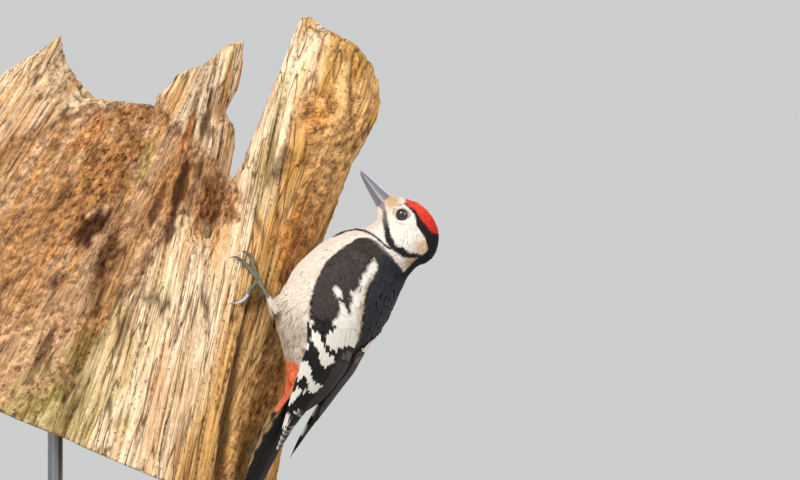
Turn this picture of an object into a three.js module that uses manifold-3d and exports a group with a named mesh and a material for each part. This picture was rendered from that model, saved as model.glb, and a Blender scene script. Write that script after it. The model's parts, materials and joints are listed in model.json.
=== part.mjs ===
// A life-size great spotted woodpecker in first-year dress, clinging to a cut length of weathered
// trunk that a plain display stand holds up. Millimetres, +Z up; the origin is at the centre of
// the stand's underside. The bird is looked at from -Y: +X is to the right, +Y is away.
import * as THREE from "three";
import { mergeVertices } from "three/addons/utils/BufferGeometryUtils.js";
import Module from "manifold-3d";

const wasm = await Module();
wasm.setup();

const GAP = 0.3;                       // clearance between neighbouring solids
const UP = new THREE.Vector3(0, 0, 1);

// ---------------------------------------------------------------- placing
// Body frame: x runs to the head (a), y to the bird's left (l), z to its back (d).
const LEAN = THREE.MathUtils.degToRad(35);         // of the body from upright, to the right
const ROLL = THREE.MathUtils.degToRad(30);         // of the back towards the viewer
const PITCH = THREE.MathUtils.degToRad(6);         // of the breast out from the trunk
const BODY_AT = new THREE.Vector3(65, -16, 150.2);
// Head frame: x runs to the bill (f), y to the bird's left, z to the crown (u).
const HEAD_LEAN = THREE.MathUtils.degToRad(-40.7); // of the face from upright, to the left
const HEAD_TILT = THREE.MathUtils.degToRad(9);     // of the crown towards the viewer
const HEAD_AT = new THREE.Vector3(101.4, -25.5, 187.6);

function basis(forward, up, at) {
  const left = new THREE.Vector3().crossVectors(up, forward).normalize();
  return new THREE.Matrix4().makeBasis(forward, left, up).setPosition(at);
}

function bodyFrame() {
  const side = new THREE.Vector3(Math.cos(LEAN), 0, -Math.sin(LEAN));
  const forward = new THREE.Vector3(
    Math.sin(LEAN) * Math.cos(PITCH), -Math.sin(PITCH), Math.cos(LEAN) * Math.cos(PITCH));
  const near = new THREE.Vector3().crossVectors(side, forward);
  const up = side.clone().multiplyScalar(Math.cos(ROLL)).addScaledVector(near, Math.sin(ROLL));
  return basis(forward, up, BODY_AT);
}

function headFrame() {
  const forward = new THREE.Vector3(Math.sin(HEAD_LEAN), 0, Math.cos(HEAD_LEAN));
  const flat = new THREE.Vector3(Math.cos(HEAD_LEAN), 0, -Math.sin(HEAD_LEAN));
  const up = flat.multiplyScalar(Math.cos(HEAD_TILT));
  up.y = -Math.sin(HEAD_TILT);
  return basis(forward, up, HEAD_AT);
}

const BODY = bodyFrame();
const HEAD = headFrame();
const HEAD_IN_BODY = BODY.clone().invert().multiply(HEAD);

// ---------------------------------------------------------------- shapes
// A smooth value at x through rows [x, value, value, ...] with x rising or falling.
function row(keys, x) {
  const rising = keys[keys.length - 1][0] > keys[0][0] ? 1 : -1;
  let i = 0;
  while (i < keys.length - 2 && (x - keys[i + 1][0]) * rising > 0) i += 1;
  const [k0, k1] = [keys[i], keys[i + 1]];
  const before = keys[i - 1] ?? k0;
  const after = keys[i + 2] ?? k1;
  const span = k1[0] - k0[0];
  const t = THREE.MathUtils.clamp((x - k0[0]) / span, 0, 1);
  return k0.map((_, c) => {
    const m0 = (span * (k1[c] - before[c])) / (k1[0] - before[0]);
    const m1 = (span * (after[c] - k0[c])) / (after[0] - k0[0]);
    const s = t * t;
    const q = s * t;
    return (2 * q - 3 * s + 1) * k0[c] + (q - 2 * s + t) * m0
      + (3 * s - 2 * q) * k1[c] + (q - s) * m1;
  });
}

function steps(from, to, count) {
  return Array.from({ length: count + 1 }, (_, i) => from + ((to - from) * i) / count);
}

// Where rows start and end.
function ends(rows) {
  return [rows[0][0], rows[rows.length - 1][0]];
}

// A closed solid through rings of equally many points, capped by a fan at each end.
function loft(rings) {
  const n = rings[0].length;
  const at = [];
  const faces = [];
  for (const ring of rings) for (const p of ring) at.push(p.x, p.y, p.z);
  const middle = (ring) => ring.reduce((s, p) => s.add(p), new THREE.Vector3()).divideScalar(n);
  for (const ring of [rings[0], rings[rings.length - 1]]) at.push(...middle(ring).toArray());
  const first = rings.length * n;
  for (let r = 0; r < rings.length - 1; r += 1) {
    for (let i = 0; i < n; i += 1) {
      const a = r * n + i;
      const b = r * n + ((i + 1) % n);
      faces.push(a, b, a + n, b, b + n, a + n);
    }
  }
  const last = (rings.length - 1) * n;
  for (let i = 0; i < n; i += 1) {
    const j = (i + 1) % n;
    faces.push(first, j, i, first + 1, last + i, last + j);
  }
  const geometry = new THREE.BufferGeometry();
  geometry.setAttribute("position", new THREE.Float32BufferAttribute(at, 3));
  geometry.setIndex(faces);
  return outward(geometry);
}

// The same geometry with its faces turned out, told by the sign of its volume.
function outward(geometry) {
  const p = geometry.attributes.position;
  const index = geometry.index.array;
  const [a, b, c] = [0, 0, 0].map(() => new THREE.Vector3());
  let volume = 0;
  for (let i = 0; i < index.length; i += 3) {
    a.fromBufferAttribute(p, index[i]);
    b.fromBufferAttribute(p, index[i + 1]);
    c.fromBufferAttribute(p, index[i + 2]);
    volume += a.dot(b.cross(c));
  }
  if (volume < 0) {
    for (let i = 0; i < index.length; i += 3) [index[i], index[i + 1]] = [index[i + 1], index[i]];
  }
  return geometry;
}

function toSolid(geometry) {
  const plain = geometry.clone();
  for (const name of ["normal", "uv"]) plain.deleteAttribute(name);
  const merged = mergeVertices(plain, 1e-4);
  const vertProperties = new Float32Array(merged.attributes.position.array);
  const triVerts = new Uint32Array(merged.index.array);
  return new wasm.Manifold(new wasm.Mesh({ numProp: 3, vertProperties, triVerts }));
}

function toGeometry(solid) {
  const mesh = solid.getMesh();
  const geometry = new THREE.BufferGeometry();
  geometry.setAttribute("position", new THREE.BufferAttribute(mesh.vertProperties, 3));
  geometry.setIndex(new THREE.BufferAttribute(mesh.triVerts, 1));
  return geometry;
}

// A rounded form swollen about its own middle, as room for it in its neighbour.
function swollen(geometry) {
  const SWELL = 1.06;
  geometry.computeBoundingBox();
  const { x, y, z } = geometry.boundingBox.getCenter(new THREE.Vector3());
  return geometry.clone().translate(-x, -y, -z).scale(SWELL, SWELL, SWELL).translate(x, y, z);
}

// The largest body of a cut solid, so that no crumb is left beside it.
function largest(solid) {
  return solid.decompose().reduce((best, s) => (s.volume() > best.volume() ? s : best));
}

// Everything on the far side of a plane through `at`, facing `normal`.
function halfSpace(at, normal) {
  const SIDE = 600;
  const box = new THREE.BoxGeometry(SIDE, SIDE, SIDE).translate(0, 0, SIDE / 2);
  box.applyQuaternion(new THREE.Quaternion().setFromUnitVectors(UP, normal.clone().normalize()));
  return toSolid(box.translate(at.x, at.y, at.z));
}

// Both sides of a thin cut through a solid.
function part(solid, at, normal) {
  const half = normal.clone().normalize().multiplyScalar(GAP / 2);
  const ahead = halfSpace(at.clone().add(half), normal);
  const behind = halfSpace(at.clone().sub(half), normal.clone().negate());
  return [largest(solid.intersect(ahead)), largest(solid.intersect(behind))];
}

// A tapering round rod along points; radii are given at its ends and in the middle.
function taper(points, radii, sides = 6, count = 5) {
  const curve = new THREE.CatmullRomCurve3(points);
  const frames = curve.computeFrenetFrames(count, false);
  return loft(steps(0, 1, count).map((t, i) => {
    const centre = curve.getPoint(t);
    const [, radius] = row(radii.map((r, k) => [k / (radii.length - 1), r]), t);
    return steps(0, 2 * Math.PI, sides).slice(0, -1).map((w) => centre.clone()
      .addScaledVector(frames.normals[i], radius * Math.cos(w))
      .addScaledVector(frames.binormals[i], radius * Math.sin(w)));
  }));
}

// ---------------------------------------------------------------- body, neck and head
// Rows of [a, middle d, half depth, half width] from the shoulders to the vent.
const BODY_ROWS = [
  [37, 4.6, 18, 15.8], [30, 1.8, 21.6, 19], [20, -0.8, 24.8, 22.6], [10, -1.4, 26.8, 25],
  [0, -2.1, 27.9, 26], [-10, -1.8, 26.5, 25.6], [-20, -1.2, 24.2, 23.8], [-28, 0.6, 21.4, 21],
  [-35, 5.2, 16.6, 17], [-42, 9.0, 12.4, 13], [-49, 12, 8.6, 9.5]];
const BELLY_FULLNESS = 0.10;            // how far the section is squared off towards the belly
// Rows of [along, middle d, half depth, half width, middle l]; the neck turns with the head.
const NECK_ROWS = [
  [26, 2.0, 21.2, 18, 0], [33, 4.5, 19.4, 16.6, 0.2], [38, 7.2, 17.9, 15, 0.6],
  [43, 8.9, 16.6, 13.6, 1.0], [48, 9.4, 14.4, 12.4, 1.0], [53, 9.6, 10, 9, 0.8]];
// Rows of [f, middle u, half height, half width] from the nape to the bill.
const HEAD_ROWS = [
  [-19.6, -3.2, 1.8, 2], [-18.4, -3.1, 5.2, 5.4], [-15.6, -2.4, 8.6, 8.8], [-12, -1.2, 11, 10.9],
  [-7, -0.7, 12.7, 12.4], [-1, -0.4, 13.5, 13.1], [5, -0.6, 13.2, 12.4], [10, -1.0, 11.8, 10.9],
  [14, -1.5, 9.8, 9.0], [17, -1.6, 7.7, 7.1], [20, -1.5, 5.6, 5.3]];
const HEAD_CUT_U = -12.4;               // head and neck part here, square to the crown
const NECK_CUT_A = 33.5;                // neck and body part here
const HEAD_FULLNESS = 0.12;             // how far the crown is drawn in at the sides
const HEAD_TURN = [0.06, 1];            // share of the half turn that spaces the head's rings

function section(a, l, d, halfWidth, halfDepth, sides) {
  return steps(0, 2 * Math.PI, sides).slice(0, -1).map((w) => {
    const full = 1 + BELLY_FULLNESS * Math.max(0, -Math.cos(w)) * Math.abs(Math.sin(w));
    return new THREE.Vector3(
      a, l + halfWidth * full * Math.sin(w), d + halfDepth * full * Math.cos(w));
  });
}

function bodyGeometry() {
  const [front, rear] = ends(BODY_ROWS);
  return loft(steps(front, rear, 13).map((a) => {
    const [, d, depth, width] = row(BODY_ROWS, a);
    return section(a, 0, d, width, depth, 18);
  }));
}

function neckGeometry() {
  const [low, high] = ends(NECK_ROWS);
  return loft(steps(low, high, 6).map((a) => {
    const [, d, depth, width, l] = row(NECK_ROWS, a);
    return section(a, l, d, width, depth, 18);
  }));
}

function headGeometry() {
  const [nape, face] = ends(HEAD_ROWS);
  return loft(steps(...HEAD_TURN, 10).map((t) => {
    const f = nape + (face - nape) * (0.5 - 0.5 * Math.cos(Math.PI * t));
    const [, u, height, width] = row(HEAD_ROWS, f);
    return steps(0, 2 * Math.PI, 20).slice(0, -1).map((w) => new THREE.Vector3(
      f, width * Math.sin(w) * (1 - HEAD_FULLNESS * Math.max(0, Math.cos(w)) ** 2),
      u + height * Math.cos(w)));
  }));
}

// ---------------------------------------------------------------- bill and eyes
// Rows of [f, top u, bottom u, half width] of each half of the bill.
const UPPER_ROWS = [
  [20.4, 3.3, -1.7, 4.2], [23, 2.8, -1.5, 3.7], [28, 2.1, -1.1, 2.9],
  [33.5, 1.35, -0.7, 2.0], [37.5, 0.7, -0.5, 1.2], [39.3, 0.3, -0.35, 0.6]];
const LOWER_ROWS = [
  [20.4, -2.0, -6.0, 3.9], [23, -1.8, -5.3, 3.4], [28, -1.4, -4.2, 2.6],
  [33.5, -1.0, -2.8, 1.7], [37, -0.8, -1.7, 1.0], [38.6, -0.65, -1.15, 0.5]];
const EYE_AT = [8.0, 3.2];              // f and u of the eye's middle
const EYE_RADIUS = 3.4;
const EYE_DEPTH = 9.0;                  // of the ball's middle from the head's midline

const BILL_ROOF = 0.85;                 // under 1 rounds the roof, over 1 sharpens it

// One half of the bill: flat where the halves meet and roofed away from there.
function billGeometry(rows, flatIsBottom) {
  return loft(steps(...ends(rows), 6).map((f) => {
    const [, top, bottom, width] = row(rows, f);
    const flat = flatIsBottom ? bottom : top;
    const ridge = flatIsBottom ? top : bottom;
    return steps(0, Math.PI, 8).map((w) => new THREE.Vector3(
      f, width * Math.cos(w), flat + (ridge - flat) * Math.sin(w) ** BILL_ROOF));
  }));
}

function eyeGeometry(side, radius) {
  const ball = new THREE.SphereGeometry(radius, 10, 7);
  return ball.translate(EYE_AT[0], side * EYE_DEPTH, EYE_AT[1]);
}

// ---------------------------------------------------------------- wings
// Rows of [a, middle d, radius d, radius l, angle of the back edge, angle of the breast edge,
// thickness]. Angles are in degrees from the back's midline round to the side.
const WING_ROWS = [
  [30, 3.0, 21, 19.5, 66, 86, 2.4], [26, 1.4, 22.6, 21.6, 52, 101, 3.6],
  [18, -0.8, 25.8, 25, 43, 101, 4.4], [8, -1.6, 28, 27.4, 35, 95, 4.6],
  [0, -2.0, 29, 28, 27, 90, 4.6], [-10, -1.6, 28.2, 27.8, 15, 82, 4.2],
  [-18, -0.4, 27.3, 26.6, 9, 73, 3.8], [-27, 3.2, 25, 24, 5, 68, 3.2],
  [-37, 9.4, 18.4, 19, 5, 76, 2.6], [-46, 12.6, 14.4, 15.6, 8, 80, 2.2],
  [-55, 15.3, 10.8, 12.6, 20, 82, 2.0], [-65, 18.6, 7.4, 9.8, 34, 84, 1.6],
  [-75, 21.8, 4.6, 8.0, 46, 86, 1.3], [-82, 24.2, 2.6, 7.2, 58, 82, 1.0]];
const WING_EDGE = 0.8;                  // thickness along the edges
// The right wing's end is held a little off: rows of [a, further out, further over the back].
const RIGHT_LOOSE = [
  [30, 0, 0], [-32, 0, 0], [-55, 1.6, 12], [-65, 1.9, 22], [-75, 1.6, 28], [-82, 0.6, 30]];
const COVERTS_END = -12;                // a, where the secondaries come out of the coverts
const SECONDARIES_END = -50;            // a, where the primaries pass the tertials

// A wing's curved plate; `grow` swells it all round for the clearance cut out of the body.
function wingGeometry(side, grow = 0) {
  const across = 6;
  return loft(steps(...ends(WING_ROWS), 14).map((a, i, all) => {
    const [, d, radiusD, radiusL, back, breast, thick] = row(WING_ROWS, a);
    const [, loose, over] = side < 0 ? row(RIGHT_LOOSE, a) : [a, 0, 0];
    const spare = THREE.MathUtils.radToDeg(grow / radiusL);
    const angles = steps(back - over - spare, breast + spare, across)
      .map(THREE.MathUtils.degToRad);
    const along = a + (i === 0 ? grow : 0) - (i === all.length - 1 ? grow : 0);
    const point = (w, out) => new THREE.Vector3(
      along,
      side * (radiusL + loose + out) * Math.sin(w),
      d + (radiusD + loose + out) * Math.cos(w));
    const depth = (k) => WING_EDGE + (thick - WING_EDGE) * Math.sin((Math.PI * k) / across) ** 0.5;
    const outer = angles.map((w) => point(w, grow));
    const inner = angles.map((w, k) => point(w, -depth(k) - grow));
    return [...outer, ...inner.reverse()];
  }));
}

// ---------------------------------------------------------------- tail
// Rows of [a, middle d, half width, thickness, curl]; the curl bends the edges to the belly.
const TAIL_ROWS = [
  [-49.6, 12.8, 6.8, 5.2, 2.0], [-60, 14.4, 8.2, 3.4, 2.0], [-73, 16.8, 10.2, 2.4, 2.2],
  [-88, 18.9, 11.0, 1.9, 2.2], [-104, 21.5, 8.6, 1.6, 1.5], [-114, 23.0, 5.2, 1.4, 0.8],
  [-121, 24.0, 1.6, 1.0, 0.1]];
const TAIL_EDGE = 0.7;                  // thickness along the edges
// Rows of [a, middle d, half depth, half width] of the red feathers under the tail.
const VENT_ROWS = [
  [-49.6, 5.6, 4.0, 7.2], [-55, 8.2, 3.0, 6.6], [-61, 11.2, 1.9, 5.6], [-67, 14.1, 0.7, 3.2]];

function tailGeometry(grow = 0) {
  const across = 6;
  return loft(steps(...ends(TAIL_ROWS), 12).map((a) => {
    const [, d, width, thick, curl] = row(TAIL_ROWS, a);
    const spots = steps(-1, 1, across);
    const point = (x, out) => new THREE.Vector3(a, (width + grow) * x, d - curl * x * x + out);
    const depth = (x) => grow + (TAIL_EDGE + (thick - TAIL_EDGE) * Math.sqrt(1 - x * x)) / 2;
    return [...spots.map((x) => point(x, depth(x))),
      ...spots.reverse().map((x) => point(x, -depth(x)))];
  }));
}

function ventGeometry() {
  return loft(steps(...ends(VENT_ROWS), 5).map((a) => {
    const [, d, depth, width] = row(VENT_ROWS, a);
    return section(a, 0, d, width, depth, 12);
  }));
}

// ---------------------------------------------------------------- trunk
// Each column of the trunk: rows of [z, left x, right x, front y, back y] from its top down.
const SPIKE_ROWS = [
  [298, 45, 49.5, -2, 3], [292, 42, 57.5, -6, 7], [283.5, 39, 73, -10, 11],
  [274, 35.4, 80.4, -12, 14], [264.5, 31.2, 83.6, -14, 17], [253.6, 27, 84.8, -16, 19],
  [244.8, 23.4, 83.2, -17, 21], [233, 18.7, 77.5, -17, 24], [222, 14.6, 71.2, -16, 27],
  [210.5, 7, 67, -14, 31], [190, 0.5, 59.3, -12, 35], [176, -3.6, 54.2, -12, 37],
  [160, -8.3, 50.4, -15, 38], [142, -13.2, 46.8, -17, 40], [120, -19.4, 42.4, -20, 41],
  [96, -26.6, 37.6, -22, 43], [70, -34.3, 33, -25, 45], [16, -48, 23.5, -31, 47]];
const REAR_ROWS = [
  [286, 12.6, 15.4, 6, 9], [282.6, 4.7, 14.6, 4, 12], [273.4, -6.2, 14, 0, 15],
  [268.6, -19.2, 13.5, -3, 18], [262, -25.5, 12, -5, 21], [256.8, -31.7, 9.4, -6, 23],
  [248, -32.8, 5.2, -7, 25], [240, -35, 10.2, -8, 26], [231, -37.8, 10.6, -9, 28],
  [220.4, -40.6, 8.3, -9, 29], [200, -46.8, 5, -10, 31], [172, -54.6, -1, -12, 34],
  [142, -63, -8.2, -15, 37], [108, -73, -17.8, -18, 39], [72, -83.7, -28.6, -21, 41],
  [16, -98, -42, -25, 43]];
const SLAB_ROWS = [
  [198, -20.4, -18, -8, -2], [191, -24, -12.6, -11, 2], [184, -29.6, -6.4, -13, 5],
  [177, -34, 3.6, -15.4, 6], [170, -38.6, 17, -16.6, 6], [164, -42.6, 22.2, -17.2, 6],
  [158, -46, 24.6, -18, 5], [150, -50.4, 24.4, -19.4, 4], [134.6, -55.6, 20.6, -23, 2],
  [116, -61.4, 15.6, -27.5, 0], [98, -66, 11.4, -31, -2], [77, -72.6, 7.6, -35, -4],
  [56.6, -79.6, 4.7, -38, -5], [16, -91, -2, -42, -6]];
const BUTTRESS_ROWS = [
  [288, -83.6, -80.4, 6, 11], [281, -91, -79.8, 3, 15], [274, -103, -78.6, -1, 19],
  [268.7, -111, -75.4, -4, 21], [260, -117, -68.8, -8, 25], [255.8, -119, -64.5, -9, 27],
  [252.6, -120, -34, -10, 28], [243, -120.6, -18, -11, 29], [226, -121.4, -16, -12, 31],
  [202, -122.4, -22, -14, 33], [170, -123.2, -32, -18, 35], [135, -124.4, -42, -23, 37],
  [98, -125.8, -54, -27, 39], [16, -129, -76, -34, 42]];
// The outline of every column: places from left to right (0 to 1) and front to back (0 to 1).
const OUTLINE = [
  [0, 0.5], [0.03, 0.2], [0.16, 0.03], [0.36, 0], [0.53, 0.03], [0.72, 0.2], [0.9, 0.48],
  [1, 0.74], [0.96, 0.9], [0.78, 0.99], [0.5, 1], [0.2, 0.97], [0.04, 0.8]];
// Ribs follow the grain down each column, about 16 mm apart: a crest and a groove by turns.
const RIB = { height: 1.5, swing: 0.55, wave: 27, whole: 34 };
const SAW_AT = new THREE.Vector3(0, 0, 45);          // a point of the sawn underside
const SAW_SLOPE = -0.42;                             // its fall to the right, rise over run

// How far a rib's crest or groove stands out of the column's outline at height z.
function ribHeight(number, z) {
  const turn = number * number * 1.7;
  const swing = 1 + RIB.swing * Math.sin(z / RIB.wave + turn);
  return (number % 2 ? 1 : -1) * RIB.height * swing * (0.75 + 0.25 * Math.cos(2.3 * turn));
}

function columnGeometry(rows, sides) {
  const outline = new THREE.CatmullRomCurve3(
    OUTLINE.map(([x, y]) => new THREE.Vector3(x, y, 0)), true);
  return loft(rows.map(([z, left, right, front, back]) => {
    const middle = new THREE.Vector3((left + right) / 2, (front + back) / 2, z);
    const size = Math.min(1, (right - left) / RIB.whole);
    return steps(0, 1, sides).slice(0, -1).map((t, number) => {
      const p = outline.getPoint(t);
      const at = new THREE.Vector3(
        left + (right - left) * p.x, front + (back - front) * p.y, z);
      const away = at.clone().sub(middle).normalize();
      return at.addScaledVector(away, size * ribHeight(number, z));
    });
  }));
}

function perchSolid() {
  const columns = [
    columnGeometry(SPIKE_ROWS, 24), columnGeometry(REAR_ROWS, 18),
    columnGeometry(SLAB_ROWS, 22), columnGeometry(BUTTRESS_ROWS, 20)];
  const whole = columns.map(toSolid).reduce((sum, s) => sum.add(s));
  return largest(whole.intersect(halfSpace(SAW_AT, new THREE.Vector3(-SAW_SLOPE, 0, 1))));
}

// ---------------------------------------------------------------- legs and feet
const TOE_LIFT = 2.05;                  // of a toe's middle line off the wood
const TOE_RADII = [1.6, 1.35, 1.15];
const TOE_BREADTH = [-1.6, 0, 1.6];
const CLAW_RADII = [1.0, 0.8, 0.3];
const CLAW_LIFT = 1.6;                  // of a claw's middle line off the wood
const CLAW_TIP_LIFT = 0.75;
const CLAW_GAP = 0.65;                  // between a toe's end and its claw's middle line
// Where the feet hold: [x, z] on the front for the left foot, [y, z] on the right side for the
// right foot. Each toe has its joints from the foot out, then its claw's places.
const LEFT_TOES = [
  [[[23.4, 158.5], [24.6, 155.2], [25.2, 152.2]], [[25.6, 150.4], [25.4, 148.4]]],
  [[[22.4, 161], [20.3, 166.8], [19.2, 171], [17.9, 173.4]], [[16.4, 175], [13.4, 175.6]]],
  [[[22.2, 160.8], [19.2, 164.7], [16.1, 168.4], [13.7, 170.8]], [[10.9, 172.5], [7.2, 172.2]]],
  [[[22.6, 159.8], [20.3, 158], [18.4, 155.6], [17.3, 153.2]],
    [[15.1, 150.4], [12, 148.7], [7.6, 148.3]]]];
const RIGHT_TOES = [
  [[[13, 162], [12.4, 158.6], [12.8, 155.6]], [[13.2, 153.6], [14, 151.6]]],
  [[[13, 165.5], [13.6, 170], [13.8, 174], [13.8, 177]], [[14, 179.6], [14.8, 181.8]]],
  [[[13.6, 165], [17, 169], [20.4, 172.4], [23.4, 175]], [[25.6, 176.6], [28.4, 177.2]]],
  [[[13.6, 163.6], [18, 162.4], [22.4, 160.6], [26.4, 158.4]], [[29, 156.6], [32, 153.6]]]];
const HEELS = { left: [30.8, -23.5, 146.4], right: [58, 0, 148.5] };
const THIGHS = {                        // from the hip to the feathered heel in the body frame
  left: [[-6, 12, -8], [-15, 17, -13], [-21.5, 20, -17.5], [-20.3, 22, -20.8]],
  right: [[-6, -12, -8], [-14, -15.5, -15], [-19, -14.5, -18], [-21, -13, -19.5]] };
const THIGH_RADII = [10, 8.4, 5, 2.6];
const SHANK_RADII = [1.9, 1.5, 1.9];

// The place on the wood that a ray meets, lifted back along the ray.
function onWood(wood, from, direction, lift) {
  const hit = new THREE.Raycaster(from, direction).intersectObject(wood)[0];
  return hit.point.addScaledVector(direction, -lift);
}

// Rays come from the front for the left foot and from the right for the right one; each place
// takes the highest wood within a toe's breadth, so that a toe spans the grooves.
function footPlaces(wood, side, places, lift) {
  const left = side === "left";
  const direction = left ? new THREE.Vector3(0, 1, 0) : new THREE.Vector3(-1, 0, 0);
  return places.map(([across, z]) => {
    const from = (c, h) => (left ? new THREE.Vector3(c, -200, h) : new THREE.Vector3(200, c, h));
    const heights = TOE_BREADTH.flatMap((x) => TOE_BREADTH.map((y) => (
      onWood(wood, from(across + x, z + y), direction, lift).dot(direction))));
    const at = onWood(wood, from(across, z), direction, lift);
    return at.addScaledVector(direction, Math.min(...heights) - at.dot(direction));
  });
}

// Claws leave the toe's end in an arch and come back down to the wood.
function clawPoints(wood, side, toeEnd, places) {
  const down = footPlaces(wood, side, places, CLAW_LIFT);
  [down[down.length - 1]] = footPlaces(wood, side, places.slice(-1), CLAW_TIP_LIFT);
  const start = toeEnd[1].clone().sub(toeEnd[0]).normalize().multiplyScalar(CLAW_GAP);
  return [toeEnd[1].clone().add(start), ...down];
}

// ---------------------------------------------------------------- stand
const BASE = { width: 236, depth: 140, height: 16, corner: 10, bevel: 1.5 };
const CENTRE_X = -6;                    // of the base, moved to the origin at the end
const ROD_RADIUS = 4;
const ROD_SINK = 12;                    // into the base
const ROD_RISE = 14;                    // into the trunk
const RODS = [[-84, 6], [-4, 8]];       // x and y of each rod

function baseGeometry() {
  const { width, depth, height, corner, bevel } = BASE;
  const [w, d] = [width / 2 - bevel, depth / 2 - bevel];
  const shape = new THREE.Shape();
  shape.moveTo(-w + corner, -d);
  shape.lineTo(w - corner, -d);
  shape.absarc(w - corner, -d + corner, corner, -Math.PI / 2, 0);
  shape.absarc(w - corner, d - corner, corner, 0, Math.PI / 2);
  shape.absarc(-w + corner, d - corner, corner, Math.PI / 2, Math.PI);
  shape.absarc(-w + corner, -d + corner, corner, Math.PI, 1.5 * Math.PI);
  const solid = new THREE.ExtrudeGeometry(shape, {
    depth: height - 2 * bevel, bevelThickness: bevel, bevelSize: bevel, bevelSegments: 1,
    curveSegments: 3 });
  return solid.translate(CENTRE_X, 0, bevel);
}

function rodGeometry(x, y, radius, from, to) {
  const rod = new THREE.CylinderGeometry(radius, radius, to - from, 14).rotateX(Math.PI / 2);
  return rod.translate(x, y, (from + to) / 2);
}

// ---------------------------------------------------------------- building the group
const group = new THREE.Group();
group.position.x = -CENTRE_X;
const bird = new THREE.Group();
bird.applyMatrix4(BODY);
const headGroup = new THREE.Group();
headGroup.applyMatrix4(HEAD);
group.add(bird, headGroup);

function finish(color, roughness, metalness = 0) {
  return new THREE.MeshStandardMaterial({ color, roughness, metalness });
}

function add(parent, name, geometry, material) {
  const mesh = new THREE.Mesh(geometry, material);
  mesh.name = name;
  parent.add(mesh);
  return mesh;
}

const PALE = finish("#f0e4d6", 0.9);
const BLACK = finish("#25222a", 0.7);
const RED = finish("#e2542f", 0.85);
const BILL = finish("#8f8a92", 0.45);
const EYE = finish("#2a1a14", 0.1);
const LEG = finish("#7c7a60", 0.6);
const CLAW = finish("#4a4440", 0.4);
const WOOD = finish("#d8b98a", 0.95);
const BOARD = finish("#3a2c22", 0.5);
const STEEL = finish("#9a9ca0", 0.35, 1);

function addTrunkAndStand() {
  let perch = perchSolid();
  let base = toSolid(baseGeometry());
  RODS.forEach(([x, y], i) => {
    const cut = SAW_AT.z + SAW_SLOPE * x;
    const [low, high] = [BASE.height - ROD_SINK, cut + ROD_RISE];
    perch = perch.subtract(toSolid(rodGeometry(x, y, ROD_RADIUS + GAP, 0, high + GAP)));
    base = base.subtract(toSolid(rodGeometry(x, y, ROD_RADIUS + GAP, low - GAP, 60)));
    add(group, `stand_rod_${i + 1}`, rodGeometry(x, y, ROD_RADIUS, low, high), STEEL);
  });
  add(group, "stand_base", toGeometry(base), BOARD);
  return add(group, "perch", toGeometry(largest(perch)), WOOD);
}

function addLeg(wood, side, places) {
  const toes = places.map(([toe]) => footPlaces(wood, side, toe, TOE_LIFT));
  const palm = toes.reduce((s, t) => s.add(t[0]), new THREE.Vector3()).divideScalar(toes.length);
  const heel = new THREE.Vector3(...HEELS[side]);
  const shank = toSolid(taper([heel, heel.clone().lerp(palm, 0.5), palm], SHANK_RADII, 6, 3));
  let foot = shank;
  toes.forEach((points, i) => {
    foot = foot.add(toSolid(taper([palm, ...points], TOE_RADII, 5, 4)));
    const claw = clawPoints(wood, side, points.slice(-2), places[i][1]);
    add(group, `claw_${side}_${i + 1}`, taper(claw, CLAW_RADII, 5, 4), CLAW);
  });
  return largest(foot);
}

function addBird(wood) {
  const wings = [["left", 1], ["right", -1]];
  let flesh = toSolid(bodyGeometry()).add(toSolid(neckGeometry()));
  flesh = flesh.add(toSolid(headGeometry().applyMatrix4(HEAD_IN_BODY)));
  for (const [, side] of wings) {
    flesh = flesh.subtract(toSolid(wingGeometry(side, GAP)));
    const socket = eyeGeometry(side, EYE_RADIUS + GAP).applyMatrix4(HEAD_IN_BODY);
    flesh = flesh.subtract(toSolid(socket));
  }
  const crown = new THREE.Vector3().setFromMatrixColumn(HEAD_IN_BODY, 2);
  const underHead = new THREE.Vector3(0, 0, HEAD_CUT_U).applyMatrix4(HEAD_IN_BODY);
  const [head, rest] = part(flesh, underHead, crown);
  const [neck, body] = part(rest, new THREE.Vector3(NECK_CUT_A, 0, 0), new THREE.Vector3(1, 0, 0));
  add(bird, "head", toGeometry(head), PALE);
  add(bird, "neck", toGeometry(neck), PALE);

  add(headGroup, "bill_upper", billGeometry(UPPER_ROWS, true), BILL);
  add(headGroup, "bill_lower", billGeometry(LOWER_ROWS, false), BILL);
  add(bird, "tail", tailGeometry(), BLACK);
  const vent = toSolid(ventGeometry()).subtract(toSolid(tailGeometry(GAP)));
  add(bird, "vent", toGeometry(largest(vent)), RED);

  let trunk = body;
  for (const [name, side] of wings) {
    add(headGroup, `eye_${name}`, eyeGeometry(side, EYE_RADIUS), EYE);
    const wing = toSolid(wingGeometry(side));
    const along = new THREE.Vector3(1, 0, 0);
    const [coverts, rest1] = part(wing, new THREE.Vector3(COVERTS_END, 0, 0), along);
    const [secondaries, primaries] = part(rest1, new THREE.Vector3(SECONDARIES_END, 0, 0), along);
    add(bird, `wing_${name}_coverts`, toGeometry(coverts), BLACK);
    add(bird, `wing_${name}_secondaries`, toGeometry(secondaries), BLACK);
    add(bird, `wing_${name}_primaries`, toGeometry(primaries), BLACK);

    const thighAt = THIGHS[name].map((p) => new THREE.Vector3(...p));
    const thigh = taper(thighAt, THIGH_RADII, 12, 6);
    trunk = trunk.subtract(toSolid(swollen(thigh)));
    const toes = name === "left" ? LEFT_TOES : RIGHT_TOES;
    const foot = toGeometry(addLeg(wood, name, toes));
    const hole = toSolid(foot.clone().applyMatrix4(BODY.clone().invert()));
    add(group, `foot_${name}`, foot, LEG);
    add(bird, `thigh_${name}`, toGeometry(largest(toSolid(thigh).subtract(hole))), PALE);
    trunk = trunk.subtract(hole);
  }
  add(bird, "body", toGeometry(largest(trunk)), PALE);
}

const wood = addTrunkAndStand();
addBird(wood);

export default group;
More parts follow.
